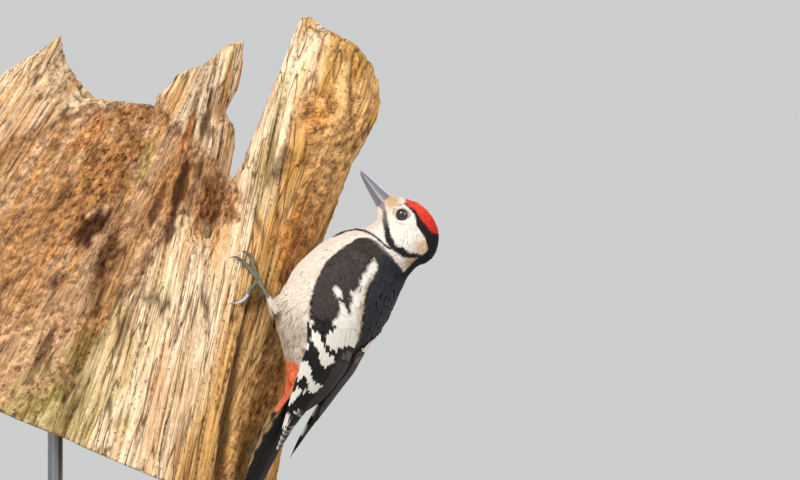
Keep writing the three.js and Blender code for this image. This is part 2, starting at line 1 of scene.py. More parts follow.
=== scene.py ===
"""Dresses a life-size great spotted woodpecker in first-year plumage, its trunk and its stand.

Lengths in the functions are millimetres; new_mesh() turns them to metres. The bird has two
frames: the body's (a to the head, l to the bird's left, d to its back) and the head's (f to the
bill, l to the left, u to the crown). Markings lie in the profile of each: along and across.
"""

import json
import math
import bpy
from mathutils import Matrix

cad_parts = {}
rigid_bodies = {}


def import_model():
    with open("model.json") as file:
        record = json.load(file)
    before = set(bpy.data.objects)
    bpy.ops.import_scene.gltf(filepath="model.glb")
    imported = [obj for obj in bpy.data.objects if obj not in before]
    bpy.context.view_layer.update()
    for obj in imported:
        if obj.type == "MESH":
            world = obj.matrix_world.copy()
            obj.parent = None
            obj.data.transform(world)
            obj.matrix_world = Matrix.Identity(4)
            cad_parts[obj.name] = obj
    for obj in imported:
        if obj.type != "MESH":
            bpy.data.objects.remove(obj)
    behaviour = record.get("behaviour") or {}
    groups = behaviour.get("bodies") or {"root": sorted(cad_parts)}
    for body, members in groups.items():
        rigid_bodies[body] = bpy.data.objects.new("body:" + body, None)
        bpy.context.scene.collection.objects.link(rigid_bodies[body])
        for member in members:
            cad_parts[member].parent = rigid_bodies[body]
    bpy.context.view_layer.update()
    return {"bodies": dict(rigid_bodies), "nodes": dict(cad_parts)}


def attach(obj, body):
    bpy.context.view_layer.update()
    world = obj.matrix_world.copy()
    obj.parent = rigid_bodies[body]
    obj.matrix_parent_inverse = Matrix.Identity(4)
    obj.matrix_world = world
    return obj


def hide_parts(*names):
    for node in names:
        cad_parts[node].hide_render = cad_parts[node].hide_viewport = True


bl_info = {
    "name": "Woodpecker dresser",
    "version": (1, 0, 0),
    "blender": (4, 5, 0),
    "location": "View3D > Sidebar > Woodpecker",
    "description": "Skin, feathers, bill, eyes, feet, trunk and stand of a mounted woodpecker",
    "category": "Object",
}

import bmesh
import bpy
import numpy as np
from mathutils import Vector, noise
from mathutils.bvhtree import BVHTree

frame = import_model()
NODES = frame["nodes"]
BODY = "root" if "root" in frame["bodies"] else sorted(frame["bodies"])[0]
MM = 0.001
SIDES = {"left": 1, "right": -1}  # which way each side lies along l


# ---------------- numbers and vectors
def unit(v):
    return v / np.maximum(np.linalg.norm(v, axis=-1, keepdims=True), 1e-9)


def dot(a, b):
    return (a * b).sum(-1)


def smooth(low, high, x):
    """0 below low, 1 above high and an even slope between."""
    t = np.clip((np.asarray(x, float) - low) / (high - low), 0, 1)
    return t * t * (3 - 2 * t)


def mix(a, b, share):
    return a + (b - a) * share


def row(keys, x):
    """Smooth values at each x through rows [x, value, value, ...] with x rising or falling."""
    keys = np.asarray(keys, float)
    if keys[-1, 0] < keys[0, 0]:
        keys = keys[::-1]
    x = np.atleast_1d(np.asarray(x, float))
    i = np.clip(np.searchsorted(keys[:, 0], x) - 1, 0, len(keys) - 2)
    low, high = keys[i], keys[i + 1]
    before = keys[np.maximum(i - 1, 0)]
    after = keys[np.minimum(i + 2, len(keys) - 1)]
    span = (high - low)[:, :1]
    t = np.clip((x[:, None] - low[:, :1]) / span, 0, 1)
    m0 = span * (high - before) / (high - before)[:, :1]
    m1 = span * (after - low) / (after - low)[:, :1]
    s, q = t * t, t * t * t
    return (2 * q - 3 * s + 1) * low + (q - 2 * s + t) * m0 + (3 * s - 2 * q) * high + (q - s) * m1


def ripple(p, size):
    """A smooth wandering value from -1 to 1 for points in a plane, with waves of about this size."""
    x, y = p[:, 0] * (2 * math.pi / size), p[:, 1] * (2 * math.pi / size)
    return (np.sin(x + 1.7 * np.sin(0.61 * y)) + np.sin(0.83 * y - 1.3 * np.sin(0.47 * x) + 1)) / 2


# ---------------- the bird's two frames
class Pose:
    """Three axes and an origin: forward, left and up, with the lean of the profile."""

    def __init__(self, forward, up, at, lean):
        forward, up = unit(np.array(forward)), unit(np.array(up))
        self.axes = np.array([forward, np.cross(up, forward), up])
        self.at = np.array(at)
        self.lean = lean

    def local(self, p):
        return (p - self.at) @ self.axes.T

    def world(self, q):
        return np.asarray(q, float) @ self.axes + self.at

    def mirrored(self, p):
        """Points on the bird's right, turned to the same place on its left."""
        across = np.minimum(dot(p - self.at, self.axes[1]), 0)
        return p - 2 * across[..., None] * self.axes[1]

    def profile(self, p):
        """Along and across in the upright plane that the bird's left side is seen in."""
        x, z = p[..., 0] - self.at[0], p[..., 2] - self.at[2]
        sine, cosine = math.sin(self.lean), math.cos(self.lean)
        return np.stack([x * sine + z * cosine, x * cosine - z * sine], -1)


def body_pose():
    lean, roll, pitch = math.radians(35), math.radians(30), math.radians(6)
    side = np.array([math.cos(lean), 0, -math.sin(lean)])
    forward = np.array([math.sin(lean) * math.cos(pitch), -math.sin(pitch),
                        math.cos(lean) * math.cos(pitch)])
    near = np.cross(side, forward)
    return Pose(forward, side * math.cos(roll) + near * math.sin(roll), (71, -16, 150.2), lean)


def head_pose():
    lean, tilt = math.radians(-40.7), math.radians(9)
    up = (math.cos(lean) * math.cos(tilt), -math.sin(tilt), -math.sin(lean) * math.cos(tilt))
    return Pose((math.sin(lean), 0, math.cos(lean)), up, (107.4, -25.5, 187.6), lean)


TRUNK_OF_BIRD, SKULL = body_pose(), head_pose()
EYE = (8.0, 9.0, 3.2)  # the left eyeball's middle in the head's frame
EYE_RADIUS = 3.4
SOCKET_RADIUS = 3.0


# ---------------- colours
def linear(code):
    """The linear colour of an sRGB hex value such as #F3E6D8."""
    parts = [int(code[i:i + 2], 16) / 255 for i in (1, 3, 5)]
    return tuple(c / 12.92 if c <= 0.04045 else ((c + 0.055) / 1.055) ** 2.4 for c in parts)


def colour_property(name, description, code):
    return bpy.props.FloatVectorProperty(
        name=name, description=description, subtype="COLOR", default=linear(code), min=0, max=1)


def length_property(name, description, value):
    """A length that the panel shows in millimetres."""
    return bpy.props.FloatProperty(name=name, description=description, default=value * MM,
                                   min=0, unit="LENGTH", precision=5)


class PlumageSettings(bpy.types.PropertyGroup):
    """The colours and sizes of the feathers."""

    cream: colour_property("Breast", "Cream of the breast and throat", "#D9CABA")
    ash: colour_property("Lower belly", "Greyed cream of the lower belly and thighs", "#8F806B")
    white: colour_property("White marks", "White of the wing bars and shoulder patch", "#DFD8CE")
    buff: colour_property("Buff tinge", "Buff of the forehead, cheek and shoulder edge", "#C9A371")
    gape: colour_property("Gape", "Lilac-pink skin at the corner of the bill", "#857B80")
    tan: colour_property("Neck side", "Tan of the side of the hind neck", "#A67F4C")
    ink: colour_property("Head black", "Black of the head and neck stripes", "#0B0908")
    mantle: colour_property("Mantle", "Blue-black of the back", "#1E1D24")
    covert: colour_property("Wing coverts", "Brown-black of the wing coverts", "#2C2522")
    quill: colour_property("Quills", "Brown-black of the flight and tail feathers", "#110F0F")
    tertial: colour_property("Inner quills", "Greyer brown of the innermost quills", "#2F2A2A")
    red: colour_property("Cap", "Red of a young bird's cap", "#CC2210")
    rose: colour_property("Cap tips", "Paler red of the front of the cap", "#DA4028")
    rust: colour_property("Vent", "Orange-red of the feathers under the tail", "#C25E36")
    coat_depth: length_property("Coat depth", "How far the skin lies inside the feathers", 0.9)


class TrunkSettings(bpy.types.PropertyGroup):
    """The colours and relief of the perch."""

    cream: colour_property("Clean wood", "Pale sun-bleached wood", "#F3DABB")
    honey: colour_property("Honey wood", "Warmer wood between the pale strands", "#DDAE78")
    yellow: colour_property("Spike", "Yellower wood of the tall spike", "#CF9C48")
    brown: colour_property("Old wood", "Brown of the older, rougher wood", "#A87A4C")
    rust: colour_property("Stained wood", "Orange-brown stain along the edges", "#C98246")
    # The darkest colour is painted shade, laid into the cracks, the crevice and the hollows where
    # shade falls.
    hollow_shade: colour_property("Crevice", "Dark of the cracks and hollows", "#4A2C16")
    algae: colour_property("Algae", "Green-grey film", "#A9A25C")
    grain: length_property("Relief", "Depth of the cracks between the strands", 1.4)


def plumage():
    return bpy.context.scene.woodpecker_plumage


def rgb(value):
    return np.array(value[:3], float)


# ---------------- markings
# Outlines in the head's profile: [along to the bill, across to the crown].
RED_CAP = [[12.5, 7.2], [10, 6.9], [7.2, 7.8], [4.7, 8.2], [1.5, 7.6], [-0.8, 7.2], [-3.6, 7.4],
           [-6.4, 7.0], [-9.3, 7.3], [-11.2, 8.3], [-13, 12], [-6, 18], [6, 18], [14, 13]]
CROWN_BLACK = [[11.9, 5.4], [10.8, 5.9], [9.4, 6.0], [6.3, 6.4], [3.6, 6.2], [1.7, 5.4],
               [-1.3, 3.3], [-6.8, 2.9], [-9.3, 2.3], [-11.7, 1.2], [-13.6, 0.4], [-14.7, -0.8],
               [-14.9, -3], [-14.4, -5.4], [-14.3, -7.2], [-14.4, -9.7], [-14.6, -13],
               [-15, -15.6], [-15.4, -19], [-24, -21], [-23, 0], [-14, 12], [0, 12],
               [9, 8.6], [11.6, 7.2]]
MALAR = [[16.1, -5.2], [14.7, -6.1], [12.3, -8.7], [9.6, -9.9], [7.9, -11.1], [5.5, -12.7],
         [3.5, -13.9], [-1.4, -14.9], [-4.4, -14.1], [-7.1, -13.3], [-9.1, -12.8],
         [-11.4, -10.6], [-13, -8.8], [-15.1, -6.2], [-17, -4.8], [-14.9, -4.4], [-13.9, -4.8],
         [-10.9, -7], [-9.1, -8.6], [-6.5, -9], [-4.8, -9.2], [-3.2, -11], [-1, -11.2],
         [1, -10.4], [3.4, -10.1], [5.8, -8.7], [8.7, -7.1], [11.3, -5.8], [13.2, -4.4],
         [14.5, -3.3]]
# The bare base of the bill, which runs back to the gape.
GAPE = [[20.7, 3.2], [19.6, -0.6], [17.2, -2.3], [15.2, -3.5], [15.0, -4.5], [15.8, -5.0],
        [18.6, -5.1], [21.7, -5.3], [27, -4.5], [27, 3]]
# Dark lines round the eye, the one under it being painted shade in the crease below the lower lid:
# the line, its width and its strength.
EYE_LINES = [
    ([[13.3, 3.0], [12.1, 4.5]], 1.0, 0.4),
    ([[11.2, -1.8], [12.3, -0.8], [12.5, 0.5]], 0.9, 0.5),
    ([[6.8, -3.0], [4.8, -2.6], [3.3, -0.7]], 0.6, 0.4)]
# Outlines in the body's profile: [along to the head, across to the back].
BLACK_BACK = [[28.3, -12.2], [30.8, -11.6], [32.6, -10], [34.6, -7.4], [35.6, -4.2], [36, -1.1],
              [35.8, 2], [34.7, 6.2], [34, 9.2], [32.8, 12.5], [32.3, 15.2], [31.4, 17.4],
              [30.1, 19.7], [29.8, 23], [34, 40], [-130, 60], [-130, -10], [-62, 9.3],
              [-52.1, 7.0], [-43, 4.2], [-36.6, 2.0], [-26.6, -1.9], [-17.2, -6.6],
              [-10.3, -12.1], [0.1, -15.5], [11.3, -17.6], [21.3, -15.1]]
BREAST_LINE = [[25, -22], [30.8, -18.4], [34.8, -14.8], [35.9, -12.5], [36.9, -10], [37.4, -6.6],
               [37.6, -3.1], [37.2, -0.4], [36.9, 2.2], [36.7, 4.8], [36.8, 6]]
MANTLE_EDGE = [[32, 5], [24.7, 6.9], [7.4, 10.9], [-6.5, 18], [-14, 21], [-60, 40], [40, 60],
               [36, 10]]
SHOULDER = [[28.3, 1.9], [25.9, 1.5], [23.1, 2.9], [19.5, 2.2], [15.7, 2.8], [12.1, 3.7],
            [8.5, 4.7], [7.1, 1.9], [5.1, 4.4], [3, 6.2], [1.5, 5.3], [-0.5, 6.7], [-0.4, 8.5],
            [-2.9, 7.7], [-0.3, 2.8], [-0.8, 0.5], [-5, 3.5], [-10, 3.9], [-12.2, 3.8],
            [-12, 5.2], [-12.9, 7.1], [-14.9, 6], [-19.2, 4.4], [-22.4, 7.3], [-23.6, 10.7],
            [-22.7, 13.8], [-18.5, 14.5], [-16, 19.6], [-11.6, 19.7], [-6.6, 17.8],
            [-2.1, 15.2], [2.7, 12.9], [7.4, 10.7], [12.2, 8.4], [16.7, 7.3], [21.8, 7],
            [24.7, 6.5], [27.2, 4.2]]
WHITE_MARKS = [
    [[3.8, -6.5], [5.8, -4.1], [4, -2.6], [3.6, -0.9], [1.5, 0], [0.8, -2.6], [1.7, -5.1]],
    [[-17.9, -6.5], [-16.6, -5.5], [-18.1, -3.2], [-20.2, -4.3]],
    [[-21.1, -2.2], [-20, 0.2], [-21.4, 2.8], [-23.5, 6.4], [-25.6, 8.9], [-26.5, 10.6],
     [-25.7, 14.8], [-27.4, 16], [-30.7, 15.2], [-33.5, 13.4], [-31.9, 9.6], [-29.4, 7.9],
     [-27.8, 5.7], [-26.2, 2.5], [-26.7, 0.5], [-24.4, -1.5]],
    [[-32.6, 0.6], [-29.3, -1], [-27.2, -0.7], [-29.7, 1.1]],
    [[-35.8, 3.4], [-36.2, 5.8], [-37.8, 8], [-40.9, 11.2], [-42.6, 14], [-41.4, 17.3],
     [-42.2, 18.4], [-47.7, 16.5], [-48.2, 13.6], [-45.1, 12], [-43.3, 9.2], [-41.7, 7],
     [-45.5, 7.6], [-47.1, 6], [-42.7, 4], [-38.9, 1.9]],
    [[-49, 8.2], [-50, 11], [-55, 11.2], [-60, 10.2], [-60.5, 8.8], [-55, 7.6]],
    [[-47.5, 11.6], [-48, 13], [-51, 13], [-51, 11.8]],
    [[-59, 14.4], [-59.5, 16.4], [-62.3, 16.2], [-62.8, 14]],
    [[-63.5, 11.4], [-63.7, 13.2], [-71, 14.9], [-71.5, 13]],
    [[-69, 16.2], [-69, 17.6], [-73.2, 17.4], [-73.2, 15.8]],
    [[-74, 15.8], [-74, 17.6], [-82, 19.6], [-82, 17.6]],
    [[-76, 19.3], [-76, 20.6], [-79, 20.4], [-79, 19.4]]]
GREY_MARKS = [
    [[-31.6, 17.6], [-31.4, 20], [-34.6, 20.8], [-35.8, 18.4]],
    [[-19.4, 17.4], [-20, 20.4], [-24.4, 20], [-24.4, 16.8]],
    [[-17.2, 20.6], [-16.8, 22.4], [-18.6, 22.8], [-19.2, 21]]]
# The middles of the soft spots of colour in the head's profile.
TAN_AT, CHEEK_BUFF_AT, LORE_AT = (-14.8, -10.6), (-11.8, -1.6), (16.7, 1.6)
FAR_AWAY = 1e9  # mm; further than any point lies
RIGHT_PATCH_DROP = 5.0  # mm that the right shoulder's patch lies lower
NAPE_SHIFT = 3.0  # mm that the black reaches past the nape's middle


def squared_gap(p, a, b):
    """The squared distance of each point from the straight edge a to b."""
    edge, away = b - a, p - a
    t = np.clip(away @ edge / (edge @ edge), 0, 1)
    return ((away - t[:, None] * edge) ** 2).sum(1)


def signed_distance(p, outline, reach=4.0):
    """How far each point lies inside a closed outline; -reach wherever it is further outside."""
    corners = np.array(outline, float)
    result = np.full(len(p), -reach)
    low, high = corners.min(0) - reach, corners.max(0) + reach
    near = ((p > low) & (p < high)).all(1)
    q = p[near]
    best = np.full(len(q), FAR_AWAY)
    inside = np.zeros(len(q), bool)
    for a, b in zip(corners, np.roll(corners, -1, 0)):
        best = np.minimum(best, squared_gap(q, a, b))
        if a[1] != b[1]:
            edge, away = b - a, q - a
            crossing = (a[1] > q[:, 1]) != (b[1] > q[:, 1])
            inside ^= crossing & (away[:, 0] < away[:, 1] * edge[0] / edge[1])
    result[near] = np.where(inside, np.sqrt(best), -np.minimum(np.sqrt(best), reach))
    return result


def within(p, outline, fade, ragged=0.0):
    """1 inside an outline and 0 outside it, with an edge this soft and ragged."""
    return smooth(-fade, fade, signed_distance(p, outline) + ragged)


def on_line(p, line, width):
    """1 on a line of this width through the points, fading to 0 beside it."""
    best = np.full(len(p), FAR_AWAY)
    points = np.array(line, float)
    for a, b in zip(points[:-1], points[1:]):
        best = np.minimum(best, squared_gap(p, a, b))
    return 1 - smooth(width * 0.3, width * 0.75, np.sqrt(best))


def near_spot(p, at, radius):
    return 1 - smooth(0.25, 1, np.linalg.norm(p - np.array(at), axis=1) / radius)


def paint(base, colour, share):
    return mix(base, rgb(colour), share[:, None])


def head_share(p):
    """1 on the head, 0 on the body, with a soft change across the neck."""
    f, _, u = SKULL.local(p).T
    return smooth(-17, -11, u + 0.15 * f)


def ground_colours(body, soft, ragged):
    """Belly, breast, vent and back in the body's profile, before the white marks."""
    c = plumage()
    colour = np.tile(rgb(c.cream), (len(body), 1))
    low = smooth(-9, -33, body[:, 0]) * (0.75 + 0.25 * ripple(body, 7))
    colour = paint(colour, c.ash, 0.9 * low)
    colour = paint(colour, c.buff, 0.10 * smooth(0.2, 1, ripple(body, 19)))
    vent = smooth(-38, -41.5, body[:, 0] - 0.35 * body[:, 1] + 1.5 * ragged)
    colour = paint(colour, c.rust, vent)
    upper = within(body, MANTLE_EDGE, 1.5)
    dark = mix(rgb(c.covert), rgb(c.mantle), upper[:, None])
    return mix(colour, dark, within(body, BLACK_BACK, soft, ragged)[:, None])


def with_white_marks(colour, p, body, soft, ragged):
    """Lays the shoulder's patch and the wing's bars over the colours."""
    c = plumage()
    _, aside, high = TRUNK_OF_BIRD.local(p).T
    drop = np.outer(RIGHT_PATCH_DROP * (aside < 0), (0, 1))
    patch = signed_distance(body + drop, SHOULDER) + ragged
    patch = np.where((aside < 0) & (high < -3), -9, patch)
    dorsal = smooth(3.4, 0.4, signed_distance(body, MANTLE_EDGE, 6) * -1)
    pale = mix(rgb(c.white), rgb(c.buff), (0.55 * dorsal * smooth(30, 10, body[:, 0]))[:, None])
    colour = mix(colour, pale, smooth(-soft, soft, patch)[:, None])
    for outline in WHITE_MARKS:
        colour = paint(colour, c.white, within(body, outline, soft, ragged))
    for outline in GREY_MARKS:
        colour = paint(colour, c.ash, 0.3 * within(body, outline, 0.5))
    return colour


def face_colours(head):
    """The pale parts of the head in its profile: cheek, lore, gape and side of the neck."""
    c = plumage()
    face = np.tile(rgb(c.cream), (len(head), 1))
    face = paint(face, c.white, 0.7 * smooth(14, 8, head[:, 0]))
    face = paint(face, c.buff, 0.85 * near_spot(head, LORE_AT, 6))
    face = paint(face, c.tan, 0.35 * near_spot(head, LORE_AT, 4))
    face = paint(face, c.gape, smooth(-0.2, 0.3, signed_distance(head, GAPE)))
    face = paint(face, c.buff, 0.70 * near_spot(head, CHEEK_BUFF_AT, 6.5))
    return paint(face, c.tan, 0.9 * near_spot(head, TAN_AT, 6.5))


def markings(p, soft=0.22, ground=None):
    """The plumage's colour at each point; ground is the colour that a quill's marks lie on."""
    c = plumage()
    share = head_share(p)
    mirrored = mix(TRUNK_OF_BIRD.mirrored(p), SKULL.mirrored(p), share[:, None])
    body, head = TRUNK_OF_BIRD.profile(mirrored), SKULL.profile(mirrored)
    if ground is not None:
        return with_white_marks(np.tile(ground, (len(p), 1)), p, body, soft, 0.0)
    ragged = 0.22 * ripple(p[:, [0, 2]], 1.3) + 0.12 * ripple(p[:, [2, 0]], 0.55)
    ragged = ragged * (0.5 + 0.5 * share)
    colour = with_white_marks(ground_colours(body, soft, ragged), p, body, soft, ragged)
    colour = mix(colour, face_colours(head), share[:, None])
    colour = paint(colour, c.tan, 0.85 * near_spot(head, TAN_AT, 6.0) * (1 - share))
    right = TRUNK_OF_BIRD.local(p)[:, 1] < 0
    nape = NAPE_SHIFT * right * smooth(-4, -8, head[:, 1])
    colour = paint(colour, c.ink, within(head - np.outer(nape, (1, 0)), CROWN_BLACK, 0.3, ragged))
    crimson = mix(rgb(c.red), rgb(c.rose), smooth(-8, 9, head[:, 0])[:, None])
    cap = within(head, RED_CAP, 0.35, 1.6 * ragged)
    colour = mix(colour, crimson, (cap * share)[:, None])
    streaks = signed_distance(head, MALAR) + 2.2 * ragged
    mottled = smooth(-0.35, 0.5, streaks) * mix(0.8, 1.0, smooth(14, 6, head[:, 0]))
    colour = paint(colour, c.ink, mottled)
    colour = paint(colour, c.ink, on_line(body, BREAST_LINE, 1.1 + 0.3 * ragged))
    # Dark lines round the eye; the one under it is painted shade in the crease below the lower lid.
    for line, width, strength in EYE_LINES:
        colour = paint(colour, c.ink, strength * share * on_line(head, line, width))
    return colour


# ---------------- meshes
def new_mesh(name, vertices, faces, material, colours, vane=None):
    """A piece that rides on the body, from vertices in millimetres and lists of faces."""
    mesh = bpy.data.meshes.new(name)
    mesh.from_pydata((np.asarray(vertices) * MM).tolist(), [], faces)
    mesh.shade_smooth()
    if colours.shape[1] == 3:
        colours = np.column_stack([colours, np.ones(len(colours))])
    layer = mesh.color_attributes.new("Plumage", "FLOAT_COLOR", "POINT")
    layer.data.foreach_set("color", colours.astype(np.float32).ravel())
    if vane is not None:
        layer = mesh.attributes.new("Vane", "FLOAT_VECTOR", "POINT")
        layer.data.foreach_set("vector", vane.astype(np.float32).ravel())
    mesh.materials.append(material)
    piece = bpy.data.objects.new(name, mesh)
    bpy.context.scene.collection.objects.link(piece)
    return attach(piece, BODY)


def bake_map(piece, spots):
    """Lays the map OFBake from one spot for each vertex."""
    mesh = piece.data
    index = np.zeros(len(mesh.loops), np.int32)
    mesh.loops.foreach_get("vertex_index", index)
    layer = mesh.uv_layers.new(name="OFBake")
    layer.data.foreach_set("uv", spots[index].astype(np.float32).ravel())


def grid_faces(rows, columns, closed):
    """Quads over rows of points, each row closed on itself or open."""
    r, c = np.meshgrid(np.arange(rows - 1), np.arange(columns if closed else columns - 1),
                       indexing="ij")
    after = (c + 1) % columns
    quads = np.stack([r * columns + c, r * columns + after, (r + 1) * columns + after,
                      (r + 1) * columns + c], -1)
    return quads.reshape(-1, 4)


def lofted(rings):
    """A closed solid through rings (rows, points, 3): its vertices and faces."""
    rows, points, _ = rings.shape
    faces = grid_faces(rows, points, True)[:, ::-1].tolist()
    faces += [list(range(points)), list(range((rows - 1) * points, rows * points))[::-1]]
    return rings.reshape(-1, 3), faces


def joined(parts):
    """Several (vertices, faces) as one."""
    vertices, faces, count = [], [], 0
    for v, f in parts:
        vertices.append(np.asarray(v))
        faces += [[i + count for i in face] for face in f]
        count += len(v)
    return np.concatenate(vertices), faces


def arrays(shape):
    """Vertices in millimetres, their normals and the faces of a bmesh, which is freed."""
    vertices = np.array([v.co for v in shape.verts]) / MM
    normals = np.array([v.normal for v in shape.verts])
    faces = [[v.index for v in face.verts] for face in shape.faces]
    shape.free()
    return vertices, normals, faces


def merged_node(name):
    """A CAD node's mesh with its doubled corners merged, in millimetres."""
    shape = bmesh.new()
    shape.from_mesh(NODES[name].data)
    bmesh.ops.remove_doubles(shape, verts=shape.verts, dist=1e-6)
    bmesh.ops.recalc_face_normals(shape, faces=shape.faces)
    shape.normal_update()
    return arrays(shape)


def remeshed(vertices, faces, voxel, relax):
    """One closed even mesh over all the forms, relaxed this many times."""
    mesh = bpy.data.meshes.new("rough")
    mesh.from_pydata((np.asarray(vertices) * MM).tolist(), [], faces)
    rough = bpy.data.objects.new("rough", mesh)
    bpy.context.scene.collection.objects.link(rough)
    step = rough.modifiers.new("Remesh", "REMESH")
    step.mode = "VOXEL"
    step.voxel_size = voxel * MM
    relaxing = rough.modifiers.new("Smooth", "SMOOTH")
    relaxing.factor = 0.5
    relaxing.iterations = relax
    shape = bmesh.new()
    shape.from_mesh(rough.evaluated_get(bpy.context.evaluated_depsgraph_get()).to_mesh())
    bpy.data.objects.remove(rough)
    bpy.data.meshes.remove(mesh)
    keep_largest(shape)
    return shape


def keep_largest(shape):
    """Deletes all but the largest connected part, so that no inner shell is left."""
    shape.verts.ensure_lookup_table()
    seen, best = set(), []
    for start in shape.verts:
        if start in seen:
            continue
        seen.add(start)
        island, queue = [start], [start]
        while queue:
            for edge in queue.pop().link_edges:
                for vertex in edge.verts:
                    if vertex not in seen:
                        seen.add(vertex)
                        island.append(vertex)
                        queue.append(vertex)
        best = max(best, island, key=len)
    kept = set(best)
    bmesh.ops.delete(shape, geom=[v for v in shape.verts if v not in kept], context="VERTS")
    shape.verts.index_update()
    shape.normal_update()


def nearest(tree, points):
    """The nearest place on a surface to each point, with the surface's normal there."""
    found = [tree.find_nearest(Vector(p))[:2] for p in points]
    return np.array([f[0] for f in found]), np.array([f[1] for f in found])


# ---------------- materials
def add_node(tree, kind, inputs=(), stops=(), **settings):
    """Adds a node with its settings by name, and its inputs as (socket, source or value) pairs.
    A colour ramp has its stops as (place, colour or grey) pairs."""
    node = tree.nodes.new(kind)
    for key, value in settings.items():
        if hasattr(node, key):
            setattr(node, key, value)
        else:
            node.inputs[key.replace("_", " ")].default_value = value
    for socket, source in inputs:
        if isinstance(source, bpy.types.NodeSocket):
            tree.links.new(source, node.inputs[socket])
        else:
            node.inputs[socket].default_value = source
    if stops:
        elements = node.color_ramp.elements
        while len(elements) < len(stops):
            elements.new(1.0)
        for element, (place, colour) in zip(elements, stops):
            element.position = place
            element.color = (*np.broadcast_to(colour, 3), 1)
    return node


def new_material(name, **shader):
    """A material and its Principled shader, with constant values on the shader's own sockets."""
    material = bpy.data.materials.new(name)
    material.use_nodes = True
    tree = material.node_tree
    tree.nodes.clear()
    surface = add_node(tree, "ShaderNodeBsdfPrincipled", **shader)
    add_node(tree, "ShaderNodeOutputMaterial", [("Surface", surface.outputs[0])])
    return material, tree, surface


def layered(tree, base, layers):
    """Colours or heights with others laid over them in turn: (blend, share, what is laid)."""
    for blend, share, laid_over in layers:
        base = add_node(tree, "ShaderNodeMix", [(0, share), (6, base), (7, laid_over)],
                        data_type="RGBA", blend_type=blend).outputs[2]
    return base


def raised(tree, surface, height, strength, distance, invert=False):
    """Raises the surface by a pattern; distance is in metres."""
    bump = add_node(tree, "ShaderNodeBump", [("Height", height)], Strength=strength,
                    Distance=distance, invert=invert)
    tree.links.new(bump.outputs[0], surface.inputs["Normal"])


def shaded(tree, surface, pattern, stops):
    """Darkens and lightens the piece's own colours by a pattern."""
    colour = add_node(tree, "ShaderNodeAttribute", attribute_name="Plumage")
    tone = add_node(tree, "ShaderNodeValToRGB", [(0, pattern)], stops)
    tinted = layered(tree, colour.outputs["Color"], [("MULTIPLY", 1.0, tone.outputs[0])])
    tree.links.new(tinted, surface.inputs["Base Color"])


BARB_SLANT = 1.2  # how far a barb runs to the tip for each mm aside
BARB_DEPTH = 0.00012  # m


def barb_ridges(tree, spacing):
    """Fine slanting ridges on both sides of a feather's shaft, this many millimetres apart."""
    vane = add_node(tree, "ShaderNodeAttribute", attribute_name="Vane")
    parts = add_node(tree, "ShaderNodeSeparateXYZ", [(0, vane.outputs["Vector"])])
    aside = add_node(tree, "ShaderNodeMath", [(0, parts.outputs[1])], operation="ABSOLUTE")
    slanted = add_node(tree, "ShaderNodeMath",
                       [(0, aside.outputs[0]), (1, -BARB_SLANT), (2, parts.outputs[0])],
                       operation="MULTIPLY_ADD")
    turns = add_node(tree, "ShaderNodeMath",
                     [(0, slanted.outputs[0]), (1, 2 * math.pi / spacing)], operation="MULTIPLY")
    return add_node(tree, "ShaderNodeMath", [(0, turns.outputs[0])], operation="SINE").outputs[0]


def feather_material(name, gloss, spacing):
    """Contour or flight feathers of beta-keratin: a mat vane of fine barbs. The barbs catch the
    light in streaks, and melanin makes the dark ones glossier than the pale ones. Real barbs lie
    0.1 mm apart; here they are as coarse as they need to be to show."""
    material, tree, surface = new_material(name, Roughness=gloss, IOR=1.54, Specular_IOR_Level=0.25,
                                           Sheen_Weight=0.03, Sheen_Roughness=0.5)
    mottle = add_node(tree, "ShaderNodeTexNoise", Scale=900, Detail=3)
    both = add_node(tree, "ShaderNodeMath",
                    [(0, barb_ridges(tree, spacing)), (1, 0.12), (2, mottle.outputs[0])],
                    operation="MULTIPLY_ADD").outputs[0]
    shaded(tree, surface, both, [(0.25, 0.88), (0.75, 1.06)])
    raised(tree, surface, both, 0.3, BARB_DEPTH)
    return material


# ---------------- the skin
FLESH = ["body", "neck", "head", "thigh_left", "thigh_right", "vent"]
WING_FLESH = ["wing_left_coverts", "wing_right_coverts"]
SKIN_VOXEL, SKIN_SWELL = 0.85, 0.5  # mm; the swell closes the thin cuts between the nodes


class Skin:
    """The one skin under the coat, with what the feathers need to lie on it."""

    def __init__(self):
        parts, eyes = [], []
        for name in FLESH + WING_FLESH:
            vertices, normals, faces = merged_node(name)
            parts.append((vertices + normals * SKIN_SWELL, faces))
        for name in ("eye_left", "eye_right"):
            vertices, _, faces = merged_node(name)
            eyes.append((vertices, faces))
        shape = remeshed(*joined(parts + eyes), SKIN_VOXEL, 14)
        vertices, normals, self.faces = arrays(shape)
        depth = plumage().coat_depth / MM
        depth = mix(depth, 0.55 * depth, head_share(vertices))
        vertices = vertices - normals * (depth + SKIN_SWELL)[:, None]
        self.vertices = sunk_at_eyes(vertices)
        self.normals = normals
        self.tree = BVHTree.FromPolygons(self.vertices.tolist(), self.faces)


def sunk_at_eyes(vertices):
    """Opens a socket round each eyeball, a little inside the ball's own surface."""
    local = SKULL.local(vertices)
    for side in (1, -1):
        ball = np.array([EYE[0], side * EYE[1], EYE[2]])
        away = local - ball
        ring = np.hypot(away[:, 0], away[:, 2])
        inner = (ring < SOCKET_RADIUS) & (away[:, 1] * side > -1)
        sunk = 1 - smooth(2.3, SOCKET_RADIUS, ring[inner])
        depth = ball[1] + side * np.sqrt(np.maximum(EYE_RADIUS ** 2 - ring[inner] ** 2, 0)) * 0.8
        depth = side * np.minimum(depth * side, local[inner, 1] * side)
        local[inner, 1] = mix(local[inner, 1], depth, sunk)
    return SKULL.world(local)


def skin():
    """The skin, made once and kept for every piece that lies on it."""
    if not hasattr(skin, "made"):
        skin.made = Skin()
    return skin.made


# ---------------- the lie of the feathers
SPINE_STEP = 2.0


